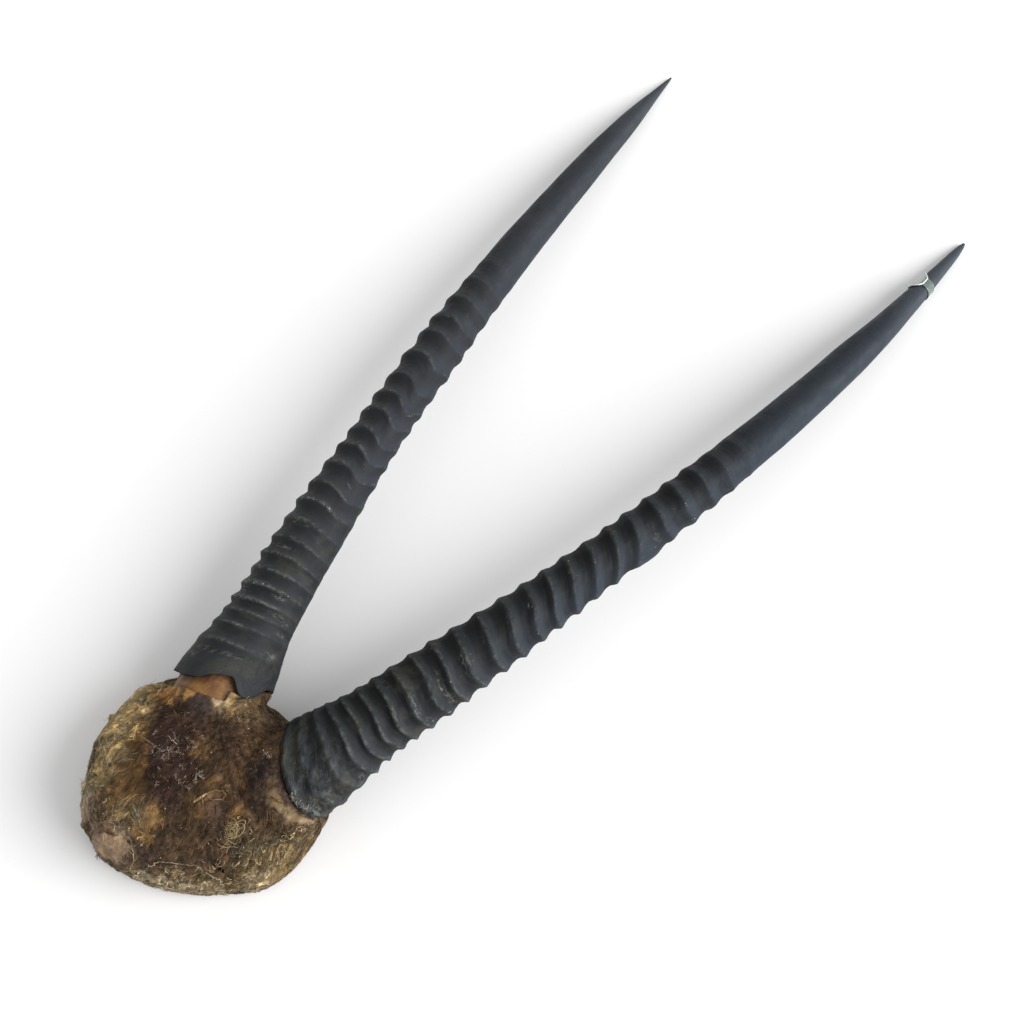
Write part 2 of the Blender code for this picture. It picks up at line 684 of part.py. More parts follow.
def clean(thing):
    """Splits the many-sided faces that the cuts left."""
    bm = bmesh.new()
    bm.from_mesh(thing.data)
    bmesh.ops.triangulate(bm, faces=bm.faces)
    bmesh.ops.recalc_face_normals(bm, faces=bm.faces)
    bm.to_mesh(thing.data)
    bm.free()


def main():
    for thing in list(bpy.data.objects):
        bpy.data.objects.remove(thing)
    skull = build_skull()
    scalp = build_scalp()
    clean(skull)
    clean(scalp)
    left = build_horn("horn_left", LEFT)
    right = build_horn("horn_right", RIGHT)
    tie = build_tie()
    for thing, corner in ((skull, 35), (scalp, 30), (left, 50), (right, 50), (tie, 40)):
        finish(thing, corner)


main()
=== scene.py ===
"""Looks of a pair of ringed antelope horns on their skull cap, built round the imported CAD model.

Metres, +Z up, in the row frame. The horns, hide, hair, bone and the small tie are mesh code with
procedural materials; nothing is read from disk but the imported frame.
"""
import math
from dataclasses import dataclass

import bpy
import numpy as np
from mathutils import Matrix, Vector
from mathutils.bvhtree import BVHTree


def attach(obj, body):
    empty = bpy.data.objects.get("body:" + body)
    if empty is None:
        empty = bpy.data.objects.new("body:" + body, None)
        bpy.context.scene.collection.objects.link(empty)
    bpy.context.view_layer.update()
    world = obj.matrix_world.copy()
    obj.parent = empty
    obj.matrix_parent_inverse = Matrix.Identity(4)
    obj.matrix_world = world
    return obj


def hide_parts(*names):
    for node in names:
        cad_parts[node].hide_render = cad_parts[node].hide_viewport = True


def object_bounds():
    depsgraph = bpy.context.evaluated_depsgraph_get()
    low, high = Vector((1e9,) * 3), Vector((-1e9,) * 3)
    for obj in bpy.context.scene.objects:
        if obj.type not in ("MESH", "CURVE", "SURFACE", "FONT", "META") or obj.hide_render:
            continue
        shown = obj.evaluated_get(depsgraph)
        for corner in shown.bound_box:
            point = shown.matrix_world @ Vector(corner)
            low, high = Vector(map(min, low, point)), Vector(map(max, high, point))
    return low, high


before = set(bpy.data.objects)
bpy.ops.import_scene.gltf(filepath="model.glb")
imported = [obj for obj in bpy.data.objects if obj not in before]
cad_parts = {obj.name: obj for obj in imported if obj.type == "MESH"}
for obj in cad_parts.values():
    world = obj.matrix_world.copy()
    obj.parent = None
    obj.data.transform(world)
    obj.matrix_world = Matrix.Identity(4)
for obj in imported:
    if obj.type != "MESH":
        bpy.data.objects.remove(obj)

CAD_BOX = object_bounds()
BODY = "root"

# ---------------------------------------------------------------- horns
# paths, radii, rings, sweeps, relief and sockets have the solids' named values; the right horn's first two
# rings, the left one's notch, the marks and the fine steps are in the looks alone
SHIFT = np.array([0.0049, -0.3234, 0.0])  # drawing frame to row frame
LEFT_PATH = (
    (-0.052, 0.005, 0.048), (-0.118, 0.264, 0.076), (-0.160, 0.515, 0.042), (-0.190, 0.795, 0.002),
)
RIGHT_PATH = (
    (0.048, -0.003, 0.048), (0.126, 0.263, 0.076), (0.171, 0.513, 0.042), (0.173, 0.803, 0.002),
)
LEFT_RADIUS = (
    (-0.030, 0.0410), (0.000, 0.0382), (0.021, 0.0344), (0.036, 0.0314), (0.055, 0.0287), (0.085, 0.0272),
    (0.120, 0.0262), (0.155, 0.0252), (0.190, 0.0231), (0.225, 0.0217), (0.300, 0.0213), (0.366, 0.0212),
    (0.400, 0.0202), (0.455, 0.0189), (0.503, 0.0178), (0.552, 0.0164), (0.604, 0.0150), (0.659, 0.0128),
    (0.720, 0.0094), (0.745, 0.0071), (0.770, 0.0045), (0.795, 0.0021), (0.807, 0.0008),
)
RIGHT_RADIUS = (
    (-0.030, 0.0400), (0.000, 0.0375), (0.031, 0.0334), (0.047, 0.0306), (0.062, 0.0292), (0.100, 0.0283),
    (0.124, 0.0274), (0.155, 0.0257), (0.190, 0.0244), (0.230, 0.0226), (0.280, 0.0210), (0.350, 0.0206),
    (0.400, 0.0200), (0.441, 0.0193), (0.481, 0.0187), (0.524, 0.0181), (0.569, 0.0170), (0.615, 0.0157),
    (0.664, 0.0132), (0.720, 0.0098), (0.745, 0.0080), (0.770, 0.0065), (0.790, 0.0052), (0.806, 0.0038),
    (0.816, 0.0025), (0.822, 0.0012),
)
LEFT_RINGS = (
    0.021, 0.034, 0.046, 0.057, 0.071, 0.085, 0.100, 0.116, 0.134, 0.153, 0.170, 0.192,
    0.211, 0.229, 0.250, 0.269, 0.290, 0.318, 0.346, 0.366, 0.393, 0.420, 0.446,
)
RIGHT_RINGS = (
    0.003, 0.013, 0.024, 0.034, 0.046, 0.060, 0.074, 0.090, 0.108, 0.127, 0.148, 0.171, 0.194, 0.216,
    0.236, 0.257, 0.280, 0.303, 0.324, 0.348, 0.371, 0.394, 0.418, 0.442,
)
RING_HEIGHT = 0.0017
BASE_RING_SHARE = 0.55
LAST_RING_SHARES = (0.22, 0.45, 0.8)
LEFT_SWEEP = (
    (0.000, (-6, 2, 4, -10, -6, -15, -13, -10)),
    (0.030, (3, 6, 7, 6, 3, 1, -1, 0)),
    (0.075, (1, 3, 4, 4, 3, 0.5, 0, 0)),
    (0.115, (0, 0, 0, 0, 1.5, 0.5, 0, 0)),
    (0.200, (3, 5, 6, -3, 4, 2, 0, 2)),
    (0.280, (4, 8, 8, -3, 7, 3, 0, 2)),
    (0.360, (0, 2, 3, 0, 3, 1, 0, 0)),
    (0.460, (0, 0, 0, 0, 0, 0, 0, 0)),
)
RIGHT_SWEEP = (
    (0.000, (-5, 0, 8, 0, -14, -20, -13, -8)),
    (0.040, (2, 2, 1, 1, 2, -1, 6, 5)),
    (0.110, (1, 0, 0, 1, 1, -3, 2, 2)),
    (0.150, (-1, 0, 0, 0, -4, -8, -3, -2)),
    (0.200, (-3, -1, 0, -1, -5, -13, -10, -6)),
    (0.240, (-4, -1, 0, -1, -6, -15, -15, -9)),
    (0.280, (-5, -2, 0, -2, -7, -16, -19, -12)),
    (0.312, (-6, -2, 0, -2, -7, -15, -22, -14)),
    (0.348, (-1, 0, 0, -2, -5, -8, -3, -2)),
    (0.400, (0, 0, 0, 0, 0, -2, 2, 0)),
    (0.460, (0, 0, 0, 0, 0, 0, 0, 0)),
)
LEFT_RELIEF = (
    (0.020, (0.5, 0.3, 0.05, 0.6, 1, 1, 1, 0.8)),
    (0.140, (0.5, 0.3, 0.1, 0.6, 1, 1, 1, 0.8)),
    (0.185, (0.7, 0.6, 0.55, 0.45, 1, 1, 0.9, 0.8)),
    (0.400, (0.7, 0.7, 0.6, 0.4, 1, 1, 0.9, 0.8)),
)
RIGHT_RELIEF = (
    (0.020, (0.5, 0.3, 0.1, 0.6, 0.9, 0.9, 1, 0.9)),
    (0.070, (0.5, 0.4, 0.3, 0.8, 1, 1, 1, 0.9)),
    (0.130, (0.8, 0.7, 0.7, 0.9, 1, 1, 1, 0.9)),
    (0.400, (0.7, 0.7, 0.7, 0.9, 1, 0.8, 0.9, 0.8)),
)
# place and reach along the horn, degrees and reach round it
HALF_RINGS = ((0.334, 0.011, 100, 62),)
# degrees round the horn and millimetres that its lower rim moves there, beside the sweep of the solid
LEFT_NOTCH = (
    (-180, 0), (-90, 0), (-75, 3), (-60, -1), (-45, -0.5), (-39, 1.3), (-33, 5), (-28, 8), (-24, 8.6),
    (-18, 6.5), (-6, 2), (3, -0.8), (12, -4), (27, -2.4), (38, -1), (48, 2), (70, 0), (180, 0),
)
SOCKET_WALL = 0.0045
SOCKET_FLOOR = 0.022
HORN_SIDES = 132
RING_STEP = 0.0011
STEEP_FROM = 0.68  # share of a ring's length where the steep face begins
STEEP_SHARE = 0.55
SMOOTH_FROM = 0.470
SMOOTH_STEP = 0.0026
RINGS_FADE = (0.40, 0.50)  # places between which the rings end
FOOT_FADE = (0.010, 0.046)  # places between which the cracked foot ends
GRAIN_RADIUS = 0.024  # of the even round on which the surface's noise is laid
FULL_RELIEF_FROM = 0.012  # a thinner horn has less relief
LEAST_RADIUS = 0.0004
BOX_ROOM = 0.00005
TIP_PLACES = (0.007, 0.005, 0.0032, 0.0018, 0.0008)  # before the end
# pale flecks and scratches, some of them painted highlights on ring crests: distance and degrees round the
# horn, reach along and round it, amount
LEFT_MARKS = (
    (0.071, -30, 0.0018, 10, 0.9), (0.058, -40, 0.0018, 10, 0.9), (0.055, -56, 0.0018, 9, 0.8),
    (0.046, -64, 0.0018, 9, 0.8), (0.028, -60, 0.0018, 9, 0.7), (0.088, -26, 0.0016, 10, 0.7),
    (0.109, 22, 0.0014, 24, 0.7), (0.074, 32, 0.0015, 22, 0.7), (0.059, 16, 0.0013, 18, 0.7),
    (0.132, 14, 0.0013, 18, 0.8), (0.154, -18, 0.0013, 14, 0.8), (0.063, 46, 0.009, 14, 0.6),
    (0.085, 52, 0.008, 12, 0.5), (0.004, 50, 0.0012, 18, 0.7), (0.009, 34, 0.0010, 18, 0.6),
    (0.013, -4, 0.0010, 22, 0.5), (0.214, 16, 0.0012, 5, 0.9), (0.266, -58, 0.0012, 7, 0.9),
    (0.180, -30, 0.0012, 8, 0.6), (0.036, 10, 0.0012, 20, 0.5), (0.380, -26, 0.0016, 6, 0.5),
)
RIGHT_MARKS = (
    (0.090, 32, 0.0022, 24, 0.85), (0.115, 34, 0.0022, 24, 0.85), (0.095, 76, 0.0040, 12, 0.6),
    (0.118, 64, 0.0035, 12, 0.6), (0.082, -30, 0.0018, 14, 0.4), (0.075, 20, 0.0016, 16, 0.5),
    (0.139, 16, 0.0016, 18, 0.6), (0.163, 2, 0.0012, 6, 0.9), (0.187, 0, 0.0013, 4, 1.3),
    (0.207, 0, 0.0011, 4, 1.0), (0.228, 4, 0.0011, 4, 0.9), (0.250, -8, 0.0011, 5, 0.7),
    (-0.017, 46, 0.0030, 12, 1.0), (-0.018, 30, 0.0030, 9, 1.0), (-0.012, 68, 0.0032, 9, 1.0),
    (0.001, 68, 0.0030, 8, 0.8), (0.005, 54, 0.002, 8, 0.5), (0.030, 82, 0.003, 14, 0.5),
    (0.330, 48, 0.0030, 14, 0.4),
)

# ---------------------------------------------------------------- camera, light and floor
CAMERA_TARGET = Vector((0.0309, -0.0584, 0.04))
CAMERA_AZIMUTH, CAMERA_ELEVATION, CAMERA_DISTANCE = 40.0, 65.0, 0.956
CAMERA_LENS, CAMERA_SENSOR, CAMERA_NEAR = 38.99, 36, 0.05
LIGHT_FROM = (0.883, 0.470, 0.51)
SUN_STRENGTH, SUN_ANGLE = 4.0, 50
SKY_STRENGTH = 0.63
PAPER_HALF, PAPER_WHITE = 4, 0.93


# ---------------------------------------------------------------- small tools
def linear(colour):
    """Linear colour from 0 to 255 values as seen on a screen."""
    c = np.asarray(colour, float) / 255
    return np.where(c <= 0.04045, c / 12.92, ((c + 0.055) / 1.055) ** 2.4)


GRADIENTS = np.random.default_rng(7).normal(size=(4096, 3))
GRADIENTS /= np.linalg.norm(GRADIENTS, axis=1)[:, None]


def noise(points, size, seed=0):
    """Smooth noise from about -1 to 1 at points of shape (..., 3)."""
    p = points.reshape(-1, 3) / size + (31.7 * seed + 0.37)
    cell = np.floor(p).astype(np.int64)
    f = p - cell
    w = f * f * f * (f * (f * 6 - 15) + 10)
    total = np.zeros(len(p))
    for corner in range(8):
        step = np.array([corner & 1, corner >> 1 & 1, corner >> 2 & 1])
        c = cell + step
        key = (c[:, 0] * 73856093 ^ c[:, 1] * 19349663 ^ c[:, 2] * 83492791) & 4095
        weight = np.prod(np.where(step, w, 1 - w), axis=1)
        total += weight * np.einsum("ij,ij->i", GRADIENTS[key], f - step)
    return (1.7 * total).reshape(points.shape[:-1])


def noise3(points, size, seed=0):
    return np.stack([noise(points, size, seed + k) for k in (0, 1, 2)], axis=-1)


def smoothstep(low, high, x):
    t = np.clip((x - low) / (high - low), 0, 1)
    return t * t * (3 - 2 * t)


def bell(x, width):
    """1 at 0, falling smoothly to both sides."""
    return np.exp(-((x / width) ** 2))


def blend(a, b, share):
    return a * (1 - share) + b * share


def away(degrees, middle):
    """Degrees round a circle from its middle, from -180 to 180."""
    return (degrees - middle + 180) % 360 - 180


def unit(v):
    return v / np.maximum(np.linalg.norm(v, axis=-1, keepdims=True), 1e-12)


def add_object(name, data):
    thing = bpy.data.objects.new(name, data)
    bpy.context.scene.collection.objects.link(thing)
    return thing


def mesh_object(name, verts, quads, tris, material, smooth=True):
    """Object from arrays of corners, four-sided faces and three-sided faces."""
    quads = np.asarray(quads, np.int32).reshape(-1, 4)
    tris = np.asarray(tris, np.int32).reshape(-1, 3)
    mesh = bpy.data.meshes.new(name)
    mesh.vertices.add(len(verts))
    mesh.vertices.foreach_set("co", np.asarray(verts, np.float32).ravel())
    loops = np.concatenate([quads.ravel(), tris.ravel()])
    mesh.loops.add(len(loops))
    mesh.loops.foreach_set("vertex_index", loops)
    counts = np.concatenate([np.full(len(quads), 4), np.full(len(tris), 3)])
    mesh.polygons.add(len(counts))
    mesh.polygons.foreach_set("loop_start", np.concatenate([[0], np.cumsum(counts)[:-1]]).astype(np.int32))
    mesh.update(calc_edges=True)
    mesh.validate()
    if smooth:
        mesh.shade_smooth()
    mesh.materials.append(material)
    return add_object(name, mesh)


LAYER_FIELDS = {"FLOAT": "value", "FLOAT_VECTOR": "vector", "FLOAT_COLOR": "color"}


def set_layer(thing, name, values, kind="FLOAT"):
    """One number, vector or colour for each vertex."""
    if kind == "FLOAT_COLOR":
        values = np.insert(values, 3, 1, axis=1)
    layer = thing.data.attributes.new(name, kind, "POINT")
    layer.data.foreach_set(LAYER_FIELDS[kind], np.asarray(values, np.float32).ravel())


def read_rows(items, field, whole=False):
    """Three numbers from each of Blender's items."""
    out = np.empty(len(items) * 3, np.int32 if whole else np.float32)
    items.foreach_get(field, out)
    return out.reshape(-1, 3).astype(int if whole else float)


def ring_faces(sections, sides):
    """Four-sided faces between the rings of a grid whose rings are closed."""
    k, i = np.meshgrid(np.arange(sections - 1), np.arange(sides), indexing="ij")
    j = (i + 1) % sides
    a, b = k * sides + i, k * sides + j
    return np.stack([a, b, b + sides, a + sides], axis=-1).reshape(-1, 4)


def end_faces(sections, sides):
    """Fans that close the first and last ring; their middle points follow the grid."""
    i = np.arange(sides)
    j = (i + 1) % sides
    top, first = (sections - 1) * sides, sections * sides
    return np.concatenate([
        np.stack([j, i, np.full_like(i, first)], axis=1),
        np.stack([top + i, top + j, np.full_like(i, first + 1)], axis=1),
    ])


def place_piece(thing, slot, *nodes):
    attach(thing, BODY)
    if nodes:
        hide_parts(*nodes)


class Graph:
    """Short names for building a material's nodes."""

    def __init__(self, name):
        self.material = bpy.data.materials.new(name)
        self.material.use_nodes = True
        self.tree = self.material.node_tree
        self.shader = self.tree.nodes["Principled BSDF"]

    def put(self, socket, value):
        """Links or sets a socket; a colour is a tuple of 0 to 255 values or a linear array."""
        if isinstance(value, bpy.types.NodeSocket):
            self.tree.links.new(value, socket)
        elif socket.type == "RGBA":
            socket.default_value = (*(linear(value) if isinstance(value, tuple) else value), 1.0)
        else:
            socket.default_value = value

    def node(self, kind, output, inputs=(), **settings):
        made = self.tree.nodes.new("ShaderNode" + kind)
        for key, value in settings.items():
            setattr(made, key, value)
        for key, value in dict(inputs).items():
            self.put(made.inputs[key], value)
        return made.outputs[output]

    def attribute(self, name, output="Fac"):
        return self.node("Attribute", output, attribute_name=name)

    def position(self):
        return self.node("TexCoord", "Object")

    def noise(self, vector, scale, detail=3.0, rough=0.55, distortion=0.0):
        """Noise of one scale, or of its own scale along each axis."""
        if isinstance(scale, tuple):
            vector, scale = self.node("Mapping", "Vector", {"Vector": vector, "Scale": scale}), 1.0
        inputs = {"Vector": vector, "Scale": scale, "Detail": detail, "Roughness": rough}
        return self.node("TexNoise", "Fac", {**inputs, "Distortion": distortion})

    def cells(self, vector, scale):
        return self.node("TexVoronoi", "Distance", {"Vector": vector, "Scale": scale})

    def span(self, value, low, high, to_low=0.0, to_high=1.0):
        inputs = enumerate((value, low, high, to_low, to_high))
        return self.node("MapRange", "Result", inputs, interpolation_type="SMOOTHSTEP")

    def math(self, operation, *operands):
        return self.node("Math", "Value", enumerate(operands), operation=operation)

    def times(self, product, *factors):
        for factor in factors:
            product = self.math("MULTIPLY", product, factor)
        return product

    def mix(self, share, a, b, blend_type="MIX"):
        return self.node("Mix", 2, {0: share, 6: a, 7: b}, data_type="RGBA", blend_type=blend_type)

    def shaded(self, tint, shade):
        grey = self.node("CombineColor", "Color", dict.fromkeys(("Red", "Green", "Blue"), shade))
        return self.mix(1.0, tint, grey, "MULTIPLY")

    def bump(self, height, strength, distance, below=None):
        inputs = {"Height": height, "Strength": strength, "Distance": distance}
        return self.node("Bump", "Normal", inputs if below is None else {**inputs, "Normal": below})

    def finish(self, colour, roughness, specular, normal=None):
        self.put(self.shader.inputs["Base Color"], colour)
        self.put(self.shader.inputs["Roughness"], roughness)
        self.put(self.shader.inputs["Specular IOR Level"], specular)
        if normal is not None:
            self.put(self.shader.inputs["Normal"], normal)
        return self.material


# ---------------------------------------------------------------- horn shape
def through(table, x):
    """Smooth value at x in a table of (x, value) rows."""
    xs, ys = np.array(table).T
    slopes = np.diff(ys) / np.diff(xs)
    lean = np.concatenate([slopes[:1], (slopes[1:] + slopes[:-1]) / 2, slopes[-1:]])
    x = np.clip(x, xs[0], xs[-1])
    k = np.clip(np.searchsorted(xs, x) - 1, 0, len(xs) - 2)
    step = xs[k + 1] - xs[k]
    t = (x - xs[k]) / step
    return (
        (2 * t**3 - 3 * t**2 + 1) * ys[k]
        + (t**3 - 2 * t**2 + t) * lean[k] * step
        + (3 * t**2 - 2 * t**3) * ys[k + 1]
        + (t**3 - t**2) * lean[k + 1] * step
    )


def curved(a, b, c, d, t):
    """Smooth curve from b to c, on its way from a to d."""
    return b + 0.5 * t * (c - a + t * (2 * a - 5 * b + 4 * c - d + t * (3 * (b - c) + d - a)))


def around(values, angle):
    """Smooth value at an angle among values that are evenly spaced round a circle."""
    place = (angle / math.tau + 0.5) * len(values)
    k = np.floor(place).astype(int)
    return curved(*(np.array(values, float)[(k + i) % len(values)] for i in (-1, 0, 1, 2)), place - k)


def along_rows(rows, place, angle):
    """Grid of values: one row for each place, one column for each angle."""
    at = np.array([row[0] for row in rows])
    rings = np.array([around(row[1], angle) for row in rows])
    k = np.clip(np.searchsorted(at, place) - 1, 0, len(at) - 2)
    t = smoothstep(at[k], at[k + 1], place)[:, None]
    return blend(rings[k], rings[k + 1], t)


@dataclass
class Horn:
    """A sheath's shape as a function of place along it and angle round it."""

    path: tuple
    radius: tuple
    rings: tuple
    sweep: tuple
    relief: tuple
    marks: tuple
    outer_side: int
    sharpness: float  # of the crests
    seed: int
    ridge: float  # degrees to the ridge of the smooth part
    rough_angle: float  # degrees to the worst part of the foot, and its reach
    rough_reach: float
    roughness: float
    # the bluish strip is painted light: the side turned to the lamp is coloured lighter and bluer
    lit_angle: float  # degrees to the bluish strip
    worn: float = 0.0  # share of the rings' height that is worn off beside that strip
    half_rings: tuple = ()
    notch: tuple = ((-180, 0), (180, 0))

    def __post_init__(self):
        a, b, c, d = np.array(self.path)
        t = np.linspace(0, 1, 901)[:, None]
        s = 1 - t
        self.line = a * s**3 + b * (3 * s * s * t) + c * (3 * s * t * t) + d * t**3
        self.lengths = np.concatenate([[0], np.cumsum(np.linalg.norm(np.diff(self.line, axis=0), axis=1))])
        self.length = self.lengths[-1]
        self.heading = unit(np.gradient(self.line, axis=0))
        self.rings = np.array(self.rings)

    def frame(self, distance):
        inside = np.clip(distance, 0, self.length)
        centre, heading = (
            np.stack([np.interp(inside, self.lengths, table[:, i]) for i in range(3)], axis=-1)
            for table in (self.line, self.heading)
        )
        heading = unit(heading)
        centre = centre + self.heading[0] * np.minimum(distance, 0)[..., None]
        up = unit(np.array([0, 0, 1.0]) - heading * heading[..., 2:3])
        return centre, up, np.cross(heading, up) * self.outer_side

    def spot(self, distance, angle, radius):
        """Point in the row frame."""
        centre, up, side = self.frame(distance)
        out = up * np.cos(angle)[..., None] + side * np.sin(angle)[..., None]
        return centre + out * radius[..., None] + SHIFT

    def places(self):
        """Steps along the sheath: short through the rings, long beyond them, close at the tip."""
        ringed = np.arange(0.0, SMOOTH_FROM, RING_STEP)
        smooth = np.arange(SMOOTH_FROM, self.length - 0.008, SMOOTH_STEP)
        return np.concatenate([ringed, smooth, self.length - np.array(TIP_PLACES)])

    def strength(self, k):
        from_end = len(self.rings) - 1 - k
        if from_end < len(LAST_RING_SHARES):
            return LAST_RING_SHARES[from_end]
        return BASE_RING_SHARE if k < 3 else 1.0 + 0.15 * math.sin(2.3 * k)

    def wave(self, t):
        """Height across one ring: part even, part with a steep face to the base and a long one to the tip."""
        even = 2 * (0.5 + 0.5 * math.cos(math.tau * t)) ** self.sharpness - 1
        if t < STEEP_FROM:
            steep = 1 - 2 * (t / STEEP_FROM) ** 0.85
        else:
            steep = 2 * ((t - STEEP_FROM) / (1 - STEEP_FROM)) ** 1.5 - 1
        return (1 - STEEP_SHARE) * even + STEEP_SHARE * steep

    def ring(self, place):
        """Height of the rings at one place, in ring heights."""
        rings = self.rings
        if place < rings[0]:
            share = (place - rings[0]) / (rings[1] - rings[0]) + 1
            return 0.0 if share < 0 else share * share * BASE_RING_SHARE * self.wave(share)
        if place < rings[-1]:
            k = np.searchsorted(rings, place, side="right") - 1
            t = (place - rings[k]) / (rings[k + 1] - rings[k])
            return blend(self.strength(k), self.strength(k + 1), t) * self.wave(t)
        t = (place - rings[-1]) / (rings[-1] - rings[-2])
        return 0.0 if t > 1 else self.strength(len(rings) - 1) * (1 - t) ** 2 * self.wave(t)

    def phase(self, place):
        """Share of the way from one crest to the next towards the tip, and the distance between them."""
        k = np.clip(np.searchsorted(self.rings, place, side="right") - 1, 0, len(self.rings) - 2)
        step = np.diff(self.rings)[k]
        t = (place - self.rings[k]) / step
        t = np.where(place < self.rings[0], np.clip(t + 1, 0, 1), t)
        return np.where(place > self.rings[-1], np.clip((place - self.rings[-1]) / step, 0, 1), t), step

    def half_ring(self, place, degrees):
        """Extra rings that reach only part of the way round."""
        total = np.zeros((len(place), len(degrees)))
        for centre, reach, middle, spread in self.half_rings:
            t = np.clip(np.abs(place - centre) / reach, 0, 1)[:, None]
            turn = np.clip(np.abs(away(degrees, middle)) / spread, 0, 1)[None, :]
            total += 1.8 * (0.5 + 0.5 * np.cos(math.pi * t)) * (0.5 + 0.5 * np.cos(math.pi * turn))
        return total


LEFT = Horn(
    LEFT_PATH, LEFT_RADIUS, LEFT_RINGS, LEFT_SWEEP, LEFT_RELIEF, LEFT_MARKS,
    outer_side=-1, sharpness=0.9, seed=100, ridge=55, rough_angle=-60, rough_reach=70, roughness=0.3,
    lit_angle=-66, worn=0.45, notch=LEFT_NOTCH,
)
RIGHT = Horn(
    RIGHT_PATH, RIGHT_RADIUS, RIGHT_RINGS, RIGHT_SWEEP, RIGHT_RELIEF, RIGHT_MARKS,
    outer_side=1, sharpness=1.25, seed=200, ridge=40, rough_angle=55, rough_reach=75, roughness=1.0,
    lit_angle=62, half_rings=HALF_RINGS,
)


def horn_marks(horn, place, degrees, distance):
    """Amount of pale flecks and scratches, and of painted highlights on ring crests, over the grid."""
    total = np.zeros(distance.shape)
    for at, middle, along, wide, amount in horn.marks:
        aside = away(degrees, middle)
        own = place[np.abs(distance[:, np.abs(aside).argmin()] - at).argmin()]
        total += amount * bell(place - own, along)[:, None] * bell(aside, wide)[None, :]
    return total


